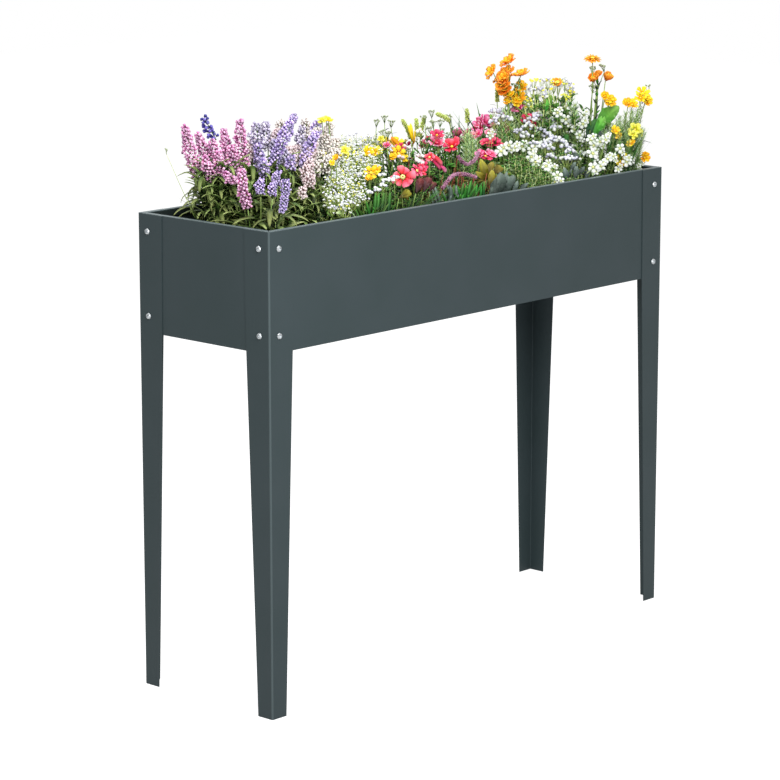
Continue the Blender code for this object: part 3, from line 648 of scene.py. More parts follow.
# blades that rise from one spot and arch outwards: the spot and the rise are in mm
def addTuft(copies, x, y, count, kinds, steep, rise, headings=(0, 2 * math.pi)):
    for i in range(count):
        heading = random.uniform(*headings)
        lift = random.uniform(*steep)
        out = Vector((math.cos(heading), math.sin(heading), 0))
        root = Vector((*metres(x, y), rootLevel)) + out * random.uniform(0, tuftForm["spread"])
        size = rise / 1000 / tuftForm["bladeRise"] * random.uniform(0.7, 1.15)
        copies.append(placed(random.choice(kinds.split()), root, (math.cos(heading), math.sin(heading), lift),
                             random.uniform(-0.5, 0.5), size, axis="Y"))


def addStand(copies, kind, x, y, rise, lean=0.15):  # one leafy stem from the soil, "rise" high
    tilt = Vector((random.uniform(-lean, lean), random.uniform(-lean, lean), 1.0))
    copies.append(placed(kind, (x, y, rootLevel), tilt, random.random() * 6, rise / sprigs[kind][0]))


def addStands(copies, kind, spots):  # leafy stems that reach up to the spots
    for x, y, z in inMetres(spots):
        addStand(copies, kind, x, y, z - soilTop)


def addFeathers(copies, kind, spots, lean):  # fine-leaved stems whose tips reach the spots
    for spot in inMetres(spots):
        root = rootOf(spot, 0.1)
        run = Vector(spot) - root
        copies.append(placed(kind, root, run + Vector(lean), 0, run.length / sprigs[kind][0]))


strapBed = {"x": (-0.455, -0.170), "y": (-0.114, 0.114), "columns": 13, "rows": 9, "stagger": 0.010, "tallOver": 0.060,
            "looseX": 0.008, "looseY": 0.006, "cornerCut": 0.50, "cornerTo": -0.36,
            "cloudFrom": -0.345, "cloudSlant": 1.05, "endRise": 0.62, "endSlope": 5}
copies = []
for column in range(strapBed["columns"]):
    for row in range(strapBed["rows"]):
        (left, right), (near, far) = strapBed["x"], strapBed["y"]
        looseX, looseY = strapBed["looseX"], strapBed["looseY"]
        y = near + (far - near) * row / (strapBed["rows"] - 1) + random.uniform(-looseY, looseY)
        x = left + (right - left) * column / (strapBed["columns"] - 1) + random.uniform(-looseX, looseX)
        corner = strapBed["cornerCut"] * max(0.0, y + 0.02) * (x < strapBed["cornerTo"])
        x += strapBed["stagger"] * (row % 2) + corner
        if x > strapBed["cloudFrom"] + strapBed["cloudSlant"] * (y + 0.12):  # the white cloud begins here
            continue
        edge = min(1.0, strapBed["endRise"] + (x + 0.46) * strapBed["endSlope"])
        rise = (bedTop(y) - soilTop) * random.uniform(0.78, 1.02) * edge
        addStand(copies, "strapTall" if rise > strapBed["tallOver"] else "strapLow", x, y, rise)
addStands(copies, "strapHigh", [
    (-425, 72, 868), (-410, 70, 882), (-415, 60, 872), (-421, 40, 862), (-435, 50, 852), (-435, 30, 847),
    (-428, 20, 851), (-401, 35, 872), (-386, 42, 884), (-338, 40, 876), (-343, 20, 862), (-299, 22, 874),
    (-335, 0, 868), (-369, 20, 862), (-397, 0, 850), (-401, 90, 872), (-380, 95, 878), (-285, 60, 880)])
for x, y, heading in ((-0.455, 0.030, (-0.6, 0.2, 3.0)), (-0.452, 0.055, (-0.5, -0.1, 3.4)),
                      (-0.450, 0.010, (-0.8, 0.1, 2.6))):
    copies.append(placed("oliveGrass", (x, y, rootLevel), heading, 0.2, 1.15, axis="Y"))
addStands(copies, "wineSprig", [(-335, 30, 852), (-330, 15, 848), (-346, -10, 844)])
plantPiece("strapLeaves", copies, "leaf_green", "strap_leaf_tuft")
print("lavender end planted")


umbelForm = {"stalk": 0.00045, "bow": 0.05, "facing": (-0.35, -0.35, 0.35), "knotLoose": 0.003}


# small heads on stalks that leave one knot
def addUmbel(copies, stalk, beads, spot, count, radius, size, drop=0.014, loose=0.0015, crown=0.35):
    spot = Vector(spot)
    knotLoose = umbelForm["knotLoose"]
    knot = spot - Vector((random.uniform(-knotLoose, knotLoose), random.uniform(-knotLoose, knotLoose), drop))
    for i in range(count):
        angle, reach = i * goldenTurn, radius * math.sqrt((i + 0.5) / count)
        head = spot + Vector((math.cos(angle) * reach, math.sin(angle) * reach, crown * (radius - reach)))
        head += wobble(loose)
        copies.append(stemBetween(stalk, knot, head, umbelForm["stalk"], umbelForm["bow"]))
        facing = (head - knot).normalized() + Vector(umbelForm["facing"])
        copies.append(placed(random.choice(beads), head, facing, random.random() * 6, random.uniform(*size)))
    return knot


whiteCloud = {"heads": 190, "backward": 0.6, "y": (-0.122, 0.112), "rise": (-0.014, 0.004),
              "edges": ((-0.348, 1.20), (-0.268, 1.38)),  # x at the front rim and slant, left and right
              "look": {"count": 8, "radius": 0.0095, "size": (0.45, 0.85), "loose": 0.0045, "crown": 0.8},
              "beads": ["star:cloudPetal", "star:cloudPetal", "star:cloudPetal", "star:lilacBead", "pearl:lilacBead",
                        "star:whitePetal", "bud:limePetal"],
              "leaves": ["paleSmall", "paleSmall", "freshSmall"]}
copies = []
for i in range(whiteCloud["heads"]):
    near, far = whiteCloud["y"]
    y = near + (far - near) * ((i * 0.618) % 1.0) ** whiteCloud["backward"]
    low, high = (edge + slant * (y + 0.12) for edge, slant in whiteCloud["edges"])
    spot = (low + (high - low) * random.random(), y, bedTop(y) + random.uniform(*whiteCloud["rise"]))
    knot = addUmbel(copies, "stemPaleThin", whiteCloud["beads"], spot, **whiteCloud["look"])
    addStem(copies, "stemGreenThin", knot, thick=0.0009, bow=0.06, pull=0.2)
    for k in range(2):
        addLeaf(copies, random.choice(whiteCloud["leaves"]), knot, 1.0, (0, 0, 0.5), 0.6)
pearlRow = [
    (-131, -80, 838), (-143, -80, 836), (-156, -80, 836), (-172, -90, 831), (-199, -100, 828), (-215, -100, 826),
    (-236, -110, 819), (-152, -70, 844), (-278, -120, 818), (-299, -120, 817), (-323, -120, 815)]
for spot in inMetres(pearlRow):
    size = (0.85, 1.15) if spot[0] > -0.22 else (0.5, 0.8)
    knot = addUmbel(copies, "stemPaleThin", ["pearl:whitePetal", "pearl:lilacBead", "star:cloudPetal"], spot,
                    count=6, radius=0.0052, size=size, drop=0.010, crown=0.7)
    addStem(copies, "stemGreenThin", knot, thick=0.0010, bow=0.05, pull=0.2)
plantPiece("whiteCloud", copies, "white_flower", "babys_breath")


def addFlower(copies, kind, spot, size, facing=None, flatness=None, usual=(-0.55, -0.50, 0.55), stem="stemGreen",
              thick=0.0011, knot=None):
    look = Vector(facing or usual).normalized()
    if facing is None:
        look += wobble(0.30)
    unit, place, tone = placed(kind + "Flower", spot, look, random.random() * 6, size)
    if flatness:
        place = place @ Matrix.Scale(flatness, 4, (0, 0, 1))
    copies.append((unit, place, tone))
    spot = Vector(spot) - look * 0.001
    copies.append(stemBetween(stem, knot or rootOf(spot, 0.25), spot, thick, 0.03))


def flowersOf(look, **stem):  # a row is the flower, its x, y and z in mm, its size, and maybe its facing and flatness
    copies = []
    for kind, x, y, z, *more in look["flowers"]:
        addFlower(copies, kind, metres(x, y, z), *more, **stem)
    return copies


def addPetals(copies, petal, face, slim, pairs):  # single petals, each from its foot to its tip in mm
    for pair in inMetres(pairs):
        copies.append(laid(petal, pair[:3], pair[3:], face, slim))


yarrow = {"slot": "yellow_flower", "flowers": [
    ("lime", -150, 70, 925, 0.85, (-0.3, -0.4, 1)), ("lime", -135, 74, 926, 0.85, (-0.1, -0.3, 1)),
    ("yellow", -142, 62, 924, 0.65, (-0.3, -0.4, 1)), ("lime", -117, 50, 872, 1.05), ("lime", -111, 54, 863, 0.9),
    ("yellow", -137, 48, 866, 0.8), ("amber", -150, 42, 857, 0.5), ("amber", -221, -30, 878, 0.5),
    ("yellow", -235, -35, 871, 0.5), ("lime", -156, 62, 871, 0.6), ("yellow", -59, 50, 864, 0.9),
    ("yellow", -47, 45, 862, 0.7), ("lime", -29, 52, 864, 0.8), ("lime", -9, 65, 880, 0.7),
    ("lime", -89, 50, 864, 0.55)]}
plantPiece("yellowYarrow", flowersOf(yarrow), yarrow["slot"], "yellow_yarrow")

marguerite = {"slot": "yellow_flower", "flowers": [
    ("trumpet", 36, 70, 866, 0.85, (-0.35, -0.45, 0.85)), ("yellow", 20, 80, 868, 0.95),
    ("trumpet", 3, 35, 856, 0.8, (-0.2, -0.75, 0.55)), ("yellow", 13, 34, 849, 0.8, (-0.1, -0.8, 0.3)),
    ("trumpet", -136, -30, 844, 0.75, (-0.5, -0.6, 0.6)), ("yellow", -128, -34, 847, 0.8),
    ("amber", -14, 32, 852, 0.55), ("amber", -145, -34, 836, 0.5)]}
copies = flowersOf(marguerite)
addPetals(copies, "slim:yellow", (-0.7, -0.65, 0.3), 0.42, [
    (91, 80, 861, 78, 80, 893), (91, 81, 862, 84, 81, 896), (92, 79, 863, 93, 79, 884), (-9, 40, 868, 26, 40, 842)])
addPetals(copies, "slim:amber", (-0.6, -0.6, 0.5), 0.7, [(11, 60, 881, 44, 60, 862), (44, 59, 862, 15, 59, 877)])
addStem(copies, "stemGreen", (0.089, 0.085, 0.865), thick=0.0012)
plantPiece("yellowMarguerite", copies, marguerite["slot"], "yellow_marguerite")

cosmos = {"slot": "coral_flower", "flowers": [
    ("coral", -85, -55, 834, 0.95, (-0.62, -0.66, 0.4)), ("coral", -44, -50, 840, 0.6, (0.1, -0.8, 0.5)),
    ("red", -29, -46, 840, 0.75, (-0.1, -0.8, 0.4)), ("pink", 118, 50, 861, 1.15, (-0.35, -0.45, 0.85)),
    ("red", 124, 55, 875, 0.9, (-0.5, -0.3, 0.9)), ("red", 135, 30, 856, 1.2, (-0.5, -0.35, 0.85)),
    ("red", 12, 40, 863, 0.7, (-0.3, -0.8, 0.3)), ("pink", -10, 50, 870, 0.6),
    ("red", 1, -22, 841, 0.7, (-0.5, -0.6, 0.4)), ("coral", 19, -22, 854, 0.45)]}
copies = flowersOf(cosmos)
addPetals(copies, "slim:coral", (-0.6, -0.65, 0.5), 0.6, [
    (20, -20, 856, 47, -27, 834), (24, -21, 851, 48, -28, 830), (22, -22, 860, 51, -30, 838)])
addPetals(copies, "slim:pink", (-0.6, -0.65, 0.5), 1.1, [(43, -26, 837, 58, -30, 825)])
for spot in inMetres([
        (20, 33, 863), (-7, -18, 848), (27, 36, 859), (1, -22, 844), (-29, 0, 854), (96, 70, 881), (11, -10, 852)]):
    knot = addUmbel(copies, "stemPaleThin", ["pearl:whitePetal", "pearl:blushFloret"], spot,
                    count=4, radius=0.0038, size=(1.0, 1.5), drop=0.008)
    addStem(copies, "stemGreenThin", knot, thick=0.0010)
addStands(copies, "wineSprig", [
    (-29, -50, 830), (-14, -48, 832), (-44, -60, 824), (-4, -40, 832), (-21, -62, 820), (13, 30, 852), (31, 30, 856)])
plantPiece("coralCosmos", copies, cosmos["slot"], "coral_cosmos")


catkinForm = {"tipSlim": 0.6, "depth": (0.35, 0.8), "upward": 0.5, "loose": 0.2, "stem": 0.0011,
              "bristleDepth": 0.6, "bristleUpward": 0.6, "bristleLoose": 0.25}


def addCatkin(copies, path, bead, look):  # buds and bristles packed along a curved spike
    path = [Vector(spot) for spot in path]
    total = sum((b - a).length for a, b in zip(path, path[1:]))
    count = int(total * 1000 * look["perMillimetre"])
    for k in range(count):
        share = (k + 0.5) / count
        place = share * (len(path) - 1)
        i = min(int(place), len(path) - 2)
        t = place - i
        before, after = path[max(i - 1, 0)], path[min(i + 2, len(path) - 1)]
        spot = path[i].lerp(path[i + 1], t) + (path[i] + path[i + 1] - before - after) * 0.25 * t * (1 - t)
        along = (path[i + 1] - path[i]).normalized()
        side = along.cross(Vector((0, 0, 1)) if abs(along.z) < 0.9 else Vector((0, 1, 0))).normalized()
        out = Matrix.Rotation(k * goldenTurn, 3, along) @ side
        reach = look["radius"] * (1.0 - catkinForm["tipSlim"] * share ** 4)
        size = random.uniform(*look["size"])
        bud = spot + out * reach * random.uniform(*catkinForm["depth"])
        facing = out + along * catkinForm["upward"] + wobble(catkinForm["loose"])
        copies.append(placed(bead, bud, facing, random.random() * 6, size))
        if k % 2 == 0:
            bristle = spot + out * reach * catkinForm["bristleDepth"]
            facing = out + along * catkinForm["bristleUpward"] + wobble(catkinForm["bristleLoose"])
            copies.append(placed(look["bristle"], bristle, facing, 0, look["bristleSize"], axis="Y"))
    for low, high in zip(path, path[1:]):
        copies.append(stemBetween(look["stem"], low, high, catkinForm["stem"], 0.0))


greenSprigs = {
    "look": {"perMillimetre": 3.4, "radius": 0.0028, "size": (0.5, 0.8), "stem": "stemPaleThin",
             "bristle": "paleNeedle", "bristleSize": 0.7},
    "catkins": [
        [(106, 100, 867), (97, 100, 884), (84, 100, 901)], [(121, 100, 869), (121, 100, 885), (120, 100, 900)],
        [(140, 110, 865), (145, 110, 882), (151, 110, 898)], [(217, 110, 887), (202, 110, 896), (185, 110, 902)],
        [(267, 110, 879), (266, 110, 891), (265, 110, 903)], [(336, 100, 911), (336, 100, 922), (336, 100, 934)]],
    "umbels": [
        (4, 70, 915), (-15, 70, 910), (22, 70, 906), (-26, 80, 876), (170, 110, 906), (163, 100, 889), (183, 100, 889),
        (174, 90, 875), (144, 90, 881), (217, 110, 894), (140, 100, 899), (241, 100, 854), (-3, 68, 891), (11, 66, 887),
        (-19, 72, 863), (191, 90, 867), (226, 100, 869)],
    "feathers": [
        (203, 50, 873), (195, 52, 869), (212, 50, 867), (201, 40, 859), (207, 60, 875), (191, 44, 855), (215, 40, 857),
        (298, 65, 897), (322, 70, 904), (322, 60, 886), (292, 50, 883), (325, 50, 873), (348, 70, 890), (309, 62, 893),
        (335, 66, 896)],
    "stalkFoot": (-0.450, 0.062, 0.842), "stalkTip": (-0.519, 0.060, 0.912)}  # a thin seed stalk at the left end
copies = []
for path in greenSprigs["catkins"]:
    path = inMetres(path)
    addCatkin(copies, path, "bud:limeSpike", greenSprigs["look"])
    addStem(copies, "stemGreen", path[0], thick=0.0012)
    for share in (0.55, 0.7, 0.85, 0.95):
        addLeaf(copies, "deepSmall", rootOf(path[0]).lerp(Vector(path[0]), share), 1.0, (0, 0, 0.8), 0.8)
for spot in inMetres(greenSprigs["umbels"]):
    knot = addUmbel(copies, "stemGreenThin", ["bud:budGreen"], spot,
                    count=9, radius=0.0060, size=(0.6, 0.95), drop=0.010)
    low = rootOf(knot)
    copies.append(stemBetween("stemGreenThin", low, knot, 0.0012, 0.05))
    for share in (0.45, 0.6, 0.72, 0.82, 0.92):
        addLeaf(copies, "greySmall", low.lerp(knot, share), 1.0, (0, 0, 0.6), 0.6)
addFeathers(copies, "featherSprig", greenSprigs["feathers"], (0, 0, 0))
knot = addUmbel(copies, "stemPaleThin", ["bud:budGreen"], greenSprigs["stalkTip"],
                count=5, radius=0.003, size=(0.6, 0.9), drop=0.006)
copies.append(stemBetween("stemPaleThin", rootOf(greenSprigs["stalkFoot"], 0.1), knot, 0.0007, 0.03))
plantPiece("greenSprigs", copies, "leaf_green", "green_sprigs")

mauveArcs = {
    "look": {"perMillimetre": 3.6, "radius": 0.0024, "size": (0.38, 0.6), "stem": "stemWineThin",
             "bristle": "mauveNeedle", "bristleSize": 0.5},
    "catkins": [
        [(148, -20, 851), (137, -26, 844), (120, -32, 837), (94, -40, 835)],
        [(77, -35, 853), (82, -39, 843), (94, -41, 836)],
        [(-37, -100, 813), (-5, -86, 823), (9, -82, 828), (21, -80, 830)],
        [(21, -80, 830), (44, -82, 828), (63, -90, 821)]]}
copies = []
for path in mauveArcs["catkins"]:
    path = inMetres(path)
    addCatkin(copies, path, "bud:mauveCatkin", mauveArcs["look"])
    addStem(copies, "stemWine", path[0], thick=0.0011)
plantPiece("mauveCatkins", copies, "mauve_flower", "mauve_catkins")

phlox = {"slot": "magenta_flower", "flowers": [
    ("magenta", 279, 90, 873, 1.15, (-0.8, -0.1, 0.35)), ("pink", 273, 92, 869, 0.85, (-0.8, 0, 0.2)),
    ("magenta", 285, 85, 878, 1.2, (-0.15, -0.75, 0.65)), ("magenta", 299, 88, 870, 0.9, (-0.2, -0.6, 0.8)),
    ("pink", 271, 60, 861, 0.85, (-0.3, -0.4, 0.85)), ("magenta", 250, 70, 860, 0.9, (-0.6, -0.2, 0.7)),
    ("red", 241, 30, 851, 1.35, (-0.16, -0.22, 0.95), 0.55), ("red", 249, 27, 853, 1, (0.1, -0.4, 0.9), 0.55),
    ("red", 231, 33, 853, 0.9, (-0.4, -0.2, 0.9), 0.55), ("red", 190, 0, 837, 1.15, (-0.25, -0.3, 0.9), 0.55),
    ("pink", 203, -2, 838, 1, (0, -0.5, 0.8), 0.55), ("magenta", 179, 4, 840, 0.8, (-0.6, -0.2, 0.75), 0.55),
    ("magenta", 346, 60, 897, 1, (-0.6, -0.2, 0.8)), ("pink", 357, 64, 903, 0.8, (-0.1, -0.4, 0.9)),
    ("red", 363, 50, 879, 0.9, (-0.3, -0.3, 0.9)), ("magenta", 394, 50, 879, 0.95, (-0.2, -0.6, 0.7)),
    ("red", 373, 48, 871, 0.6), ("pink", 323, 70, 881, 0.6)]}
copies = flowersOf(phlox)
strands = {"count": 20, "from": (0.312, 0.075, 0.891), "to": (0.32, 0.06, 0.862), "spread": 0.0095, "slim": 0.13}
for i in range(strands["count"]):  # thin drooping petals
    high = Vector(strands["from"]) + wobble(strands["spread"])
    low = Vector(strands["to"]) + wobble(strands["spread"] * 0.8)
    copies.append(laid("slim:pink" if i % 3 else "slim:coral", low, high, (-0.7, -0.6, 0.3), strands["slim"]))
plantPiece("magentaPhlox", copies, phlox["slot"], "magenta_phlox")

ranunculus = {"slot": "orange_flower", "knot": (0.326, 0.064, 0.92), "flowers": [
    ("orange", 277, 60, 972, 1, (-0.835, 0.297, 0.46)), ("orange", 320, 60, 986, 1.1, (-0.555, 0.178, 0.81)),
    ("orange", 304, 55, 959, 1.05, (-0.75, 0.05, 0.6)), ("orange", 321, 64, 967, 1.05, (-0.5, 0, 0.85)),
    ("orange", 354, 60, 960, 1.15, (-0.3, 0.1, 0.93)), ("orange", 304, 58, 947, 1, (-0.7, -0.1, 0.6)),
    ("orange", 310, 60, 937, 0.9, (-0.65, -0.2, 0.6)), ("amber", 322, 60, 926, 0.9, (-0.5, -0.2, 0.75)),
    ("amber", 353, 60, 938, 0.95, (-0.5, -0.5, 0.6)), ("amber", 346, 58, 922, 1.1, (-0.75, -0.6, 0.35)),
    ("yellow", 338, 56, 914, 0.8, (-0.6, -0.7, 0.1)), ("amber", 319, 62, 915, 0.6),
    ("orange", 336, 75, 949, 0.9, (-0.2, 0.6, 0.6)), ("orange", 313, 75, 957, 0.9, (-0.3, 0.7, 0.5))],
    "leaves": [(301, 58, 956), (326, 60, 946), (336, 58, 931), (331, 62, 916), (346, 64, 941), (336, 50, 946)]}
copies = flowersOf(ranunculus, thick=0.0012, knot=Vector(ranunculus["knot"]))
addStem(copies, "stemGreen", ranunculus["knot"], thick=0.0024, bow=0.03, pull=0.1)
for spot in inMetres(ranunculus["leaves"]):
    for k in range(4):
        addLeaf(copies, random.choice(["paleSmall", "freshSmall"]), Vector(spot) + wobble(0.006), 1.0, (0, 0, 0), 0.7)
plantPiece("orangeRanunculus", copies, ranunculus["slot"], "orange_ranunculus")

daisies = {"slot": "orange_flower", "flowers": [
    ("daisy", 459, -20, 988, 1.05, (-0.12, -0.15, 1)), ("cup", 462, -20, 947, 1.15, (-0.55, -0.35, 0.8)),
    ("cup", 497, -20, 946, 1.15, (0.15, -0.5, 0.8)), ("cup", 480, -16, 954, 0.8, (-0.1, -0.2, 1)),
    ("amber", 471, -40, 921, 0.65, (-0.6, -0.5, 0.4)), ("amber", 484, -40, 909, 0.95, (-0.4, -0.7, 0.5)),
    ("yellow", 480, -42, 914, 0.7, (-0.5, -0.6, 0.5)), ("amber", 455, 60, 938, 0.8, (-0.35, -0.35, 0.9)),
    ("orange", 453, 58, 938, 0.6, (-0.6, -0.4, 0.6))]}
copies = flowersOf(daisies, thick=0.0013)
stalk = {"low": Vector((0.460, -0.018, rootLevel)), "high": Vector((0.474, -0.02, 0.939)),
         "thick": 0.0030, "leaves": 16}
copies.append(stemBetween("stemGreen", stalk["low"], stalk["high"], stalk["thick"], 0.01, tone=0.4))
for spot in ((0.458, -0.02, 0.969), (0.487, -0.02, 0.971), (0.456, -0.022, 0.936)):
    knot = addUmbel(copies, "stemGreenThin", ["bud:budGreen"], spot,
                    count=8, radius=0.0050, size=(0.8, 1.1), drop=0.010)
    copies.append(stemBetween("stemGreenThin", (0.474, -0.02, 0.929), knot, 0.0010, 0.03))
for k in range(stalk["leaves"]):
    spot = stalk["low"].lerp(stalk["high"], 0.55 + 0.45 * k / (stalk["leaves"] - 1))
    addLeaf(copies, random.choice(["freshSmall", "greySmall", "deepSmall"]), spot, 0.8, (0, 0, 1.0), 0.9)
plantPiece("orangeDaisies", copies, daisies["slot"], "orange_daisy")

coreopsis = {"slot": "yellow_flower", "flowers": [
    ("amber", 462, -100, 913, 0.8, (-0.6, -0.4, 0.6)), ("amber", 472, -102, 910, 0.85, (-0.3, -0.6, 0.6)),
    ("yellow", 504, -100, 928, 1.1, (-0.4, -0.5, 0.7)), ("yellow", 493, -104, 921, 0.9, (-0.6, -0.5, 0.4)),
    ("amber", 513, -100, 912, 0.9, (-0.2, -0.7, 0.5)), ("yellow", 511, -102, 920, 0.85, (0, -0.6, 0.6)),
    ("lime", 468, -112, 867, 1.3, (-0.6, -0.6, 0.4)), ("lime", 478, -112, 861, 1, (-0.3, -0.7, 0.4)),
    ("lime", 460, -114, 859, 0.9), ("yellow", 432, -95, 867, 0.8), ("yellow", 438, -100, 857, 0.6),
    ("yellow", 434, -112, 819, 0.85), ("yellow", 450, -114, 841, 0.6), ("yellow", 424, -116, 809, 0.7),
    ("amber", 489, -118, 815, 0.8, (-0.4, -0.8, 0.3)), ("yellow", 491, -120, 807, 0.75, (-0.2, -0.9, 0.1)),
    ("amber", 456, -114, 845, 0.5)],
    "feathers": [
        (450, -95, 897), (462, -100, 905), (470, -92, 899), (445, -105, 885), (460, -108, 889), (474, -104, 893),
        (438, -85, 887), (455, -80, 891), (470, -110, 879), (448, -112, 871), (432, -100, 873), (464, -70, 889),
        (482, -98, 903), (466, -100, 900), (489, -102, 908), (458, -90, 898), (475, -90, 887), (490, -90, 894),
        (500, -90, 886), (467, -90, 875), (488, -90, 869), (502, -90, 867), (496, -85, 878)],
    "blades": [(408, -110, 856, 490, -115, 843), (480, -112, 846, 526, -118, 842)]}
copies = flowersOf(coreopsis)
knot = addUmbel(copies, "stemWineThin", ["bud:budGreen"], (0.519, -0.1, 0.938), count=3, radius=0.003, size=(0.9, 1.3))
copies.append(stemBetween("stemGreenThin", (0.502, -0.1, 0.909), knot, 0.0010, 0.03))
addFeathers(copies, "tallFeather", coreopsis["feathers"], (0.012, 0, 0))
addPetals(copies, "grass", (-0.5, -0.6, 0.6), 1.0, coreopsis["blades"])
plantPiece("yellowCoreopsis", copies, coreopsis["slot"], "yellow_coreopsis")

whitePhlox = {"leaves": ["freshSmall", "paleSmall", "deepSmall"], "rightLimit": 0.512, "heads": {
    "right": [  # x, y and z in mm, size
        (437, 7, 897, 1.12), (416, 5, 880, 0.95), (398, 10, 893, 0.9), (444, 5, 880, 0.73), (443, -15, 887, 0.73),
        (434, -20, 872, 0.84), (416, -15, 863, 0.78), (418, -25, 854, 0.84), (378, -105, 853, 0.82),
        (375, -120, 858, 0.77), (373, -95, 846, 0.82), (346, -115, 836, 1.06), (334, -126, 814, 1),
        (356, -126, 814, 0.88), (374, -126, 825, 0.82), (390, -126, 828, 0.7), (410, -125, 840, 0.88),
        (428, -126, 815, 1), (404, -126, 803, 0.7), (463, -126, 804, 0.46), (371, -90, 856, 0.95),
        (393, -95, 850, 0.85), (401, -100, 857, 0.8), (450, -118, 811, 0.7), (465, -120, 803, 0.6),
        (480, -115, 812, 0.6)],
    "left": [
        (232, 0, 841, 1.16), (264, 10, 847, 0.9), (275, 5, 843, 0.9), (301, 10, 842, 0.97), (304, -10, 837, 0.97),
        (279, -30, 829, 0.9), (267, -50, 823, 0.97), (272, -70, 817, 0.9), (271, -85, 812, 0.9), (255, -110, 806, 0.9),
        (236, -120, 798, 0.64), (253, -120, 798, 0.64), (213, 10, 870, 0.7)]}}
for side, heads in whitePhlox["heads"].items():
    copies = []
    for x, y, z, size in heads:
        spot = metres(x, y, z)
        beside = Vector(spot) + Vector((0.004, -0.002, random.choice((-0.008, 0.006))))
        beside.x = min(beside.x, whitePhlox["rightLimit"])
        for place, share in ((spot, 1), (beside, 0.7)):
            addFlower(copies, "white", place, size * share, usual=(-0.6, -0.6, 0.5), stem="stemGreenThin", thick=0.0009)
        for k in range(3):
            leaf = random.choice(whitePhlox["leaves"])
            addLeaf(copies, leaf, Vector(spot) + Vector((0.004, 0.006, -0.006)), 0.9, (0, 0.2, 0.5), 0.9)
    plantPiece("whitePhlox" + side.capitalize(), copies, "white_flower", "white_phlox_" + side)

lilac = {"slot": "white_flower", "fanRoot": (0.415, 0.040, rootLevel), "low": [
    (395, -10, 832), (386, -30, 824), (393, 0, 841), (427, -10, 828), (446, 20, 845), (363, 10, 840), (331, -30, 822),
    (386, 50, 878), (415, 30, 861), (405, -40, 818), (384, 20, 849), (360, -60, 816), (341, -60, 819), (321, 40, 861),
    (346, -10, 835), (371, 30, 861), (333, 30, 853), (440, 40, 867), (311, -10, 843), (380, 45, 884), (405, 40, 875),
    (362, 42, 879), (345, 35, 868), (398, 20, 862), (372, 0, 846), (296, 70, 897), (300, 60, 888), (317, 60, 882),
    (339, 70, 904), (270, 50, 883)],
    "high": [
        (375, 60, 913), (403, 60, 930), (430, 60, 944), (462, 60, 932), (490, 60, 933), (498, 60, 916), (391, 60, 947),
        (417, 62, 945), (367, 58, 903), (447, 58, 936), (476, 60, 938), (383, 56, 931), (361, 60, 922), (413, 56, 917),
        (488, 56, 922), (436, 64, 926), (373, 64, 939)],
    "bars": [  # slanting stems, from foot to tip
        (301, 40, 873, 353, 45, 843), (297, 44, 881, 347, 40, 847), (319, 45, 891, 373, 40, 853),
        (331, 50, 906, 401, 45, 869), (346, 52, 916, 406, 50, 873), (361, 56, 916, 393, 50, 881)]}
copies = []
for spot in inMetres(lilac["low"]):
    knot = addUmbel(copies, "stemPaleThin", ["pearl:lilacBead", "pearl:lilacBead", "pearl:whitePetal"], spot,
                    count=12, radius=0.0095, size=(0.95, 1.35), drop=0.016, loose=0.003, crown=0.6)
    addStem(copies, "stemPaleThin", knot, thick=0.0010, pull=0.1)
for i, spot in enumerate(inMetres(lilac["high"])):
    kinds = "pearl:lilacBead star:limePetal star:cloudPetal" if i % 3 else "bud:limePetal star:limePetal star:lilacBead"
    knot = addUmbel(copies, "stemPaleThin", kinds.split(), spot,
                    count=9, radius=0.0085, size=(0.8, 1.25), drop=0.018, loose=0.003)
    low = Vector(lilac["fanRoot"]) + Vector((random.uniform(-0.02, 0.03), random.uniform(-0.02, 0.02), 0))
    copies.append(stemBetween("stemPale", low, knot, 0.0017, 0.05))
limeHeads = {"count": 14, "spot": (0.479, 0.058, 0.909), "spread": 0.009, "facing": (-0.4, -0.5, 0.6), "loose": 0.6}
for k in range(limeHeads["count"]):  # yellow-green heads at the right of the fan
    spot = Vector(limeHeads["spot"]) + wobble(limeHeads["spread"])
    copies.append(placed("star:limePetal", spot, wobble(limeHeads["loose"]) + Vector(limeHeads["facing"]), 0, 1.0))
for bar in inMetres(lilac["bars"]):
    copies.append(stemBetween("stemPale", bar[:3], bar[3:], 0.0014, 0.03))
plantPiece("lilacBeads", copies, lilac["slot"])
print("flowers planted")

# leafy stems under the flowers: kind, x range, y range, count, and how far over the flower tops they reach, in mm
beds = [
    ("deepSprig", -320, 270, -120, 120, 170, -14), ("freshSprig", -180, 400, -118, 120, 170, -8),
    ("fineSprig", 175, 285, -122, -20, 90, 4), ("fineSprig", -60, 450, -80, 110, 60, -6),
    ("greySprig", 280, 440, -115, 0, 34, -10), ("oliveSprig", 85, 160, -95, -40, 12, -6),
    ("tallSprig", 345, 470, 30, 115, 40, 45), ("paleSprig", 285, 345, 40, 115, 16, 12),
    ("tallSprig", 350, 470, -60, 30, 14, 10), ("paleSprig", 385, 470, 35, 85, 46, 55),
    ("tallFeather", 432, 492, -118, -60, 80, 66), ("paleSprig", -220, 20, -20, 100, 30, -14),
    ("paleSprig", 300, 460, -60, 70, 90, 4), ("deepSprig", 440, 472, -30, 30, 9, 45),
    ("tallSprig", 430, 462, -30, 0, 9, 80)]
hollow = {"left": -0.198, "right": -0.156, "slant": 1.1, "depth": -0.06}  # a dark gap in the front planting
groups = {}
for kind, left, right, near, far, count, over in beds:
    copies = groups.setdefault(kind, [])
    left, right, near, far, over = metres(left, right, near, far, over)
    for i in range(count):
        x, y = random.uniform(left, right), random.uniform(near, far)
        if hollow["left"] < x - hollow["slant"] * (y + 0.118) < hollow["right"] and y < hollow["depth"]:
            continue
        addStand(copies, kind, x, y, (bedTop(y) + over - soilTop) * random.uniform(0.78, 1.0), 0.22)
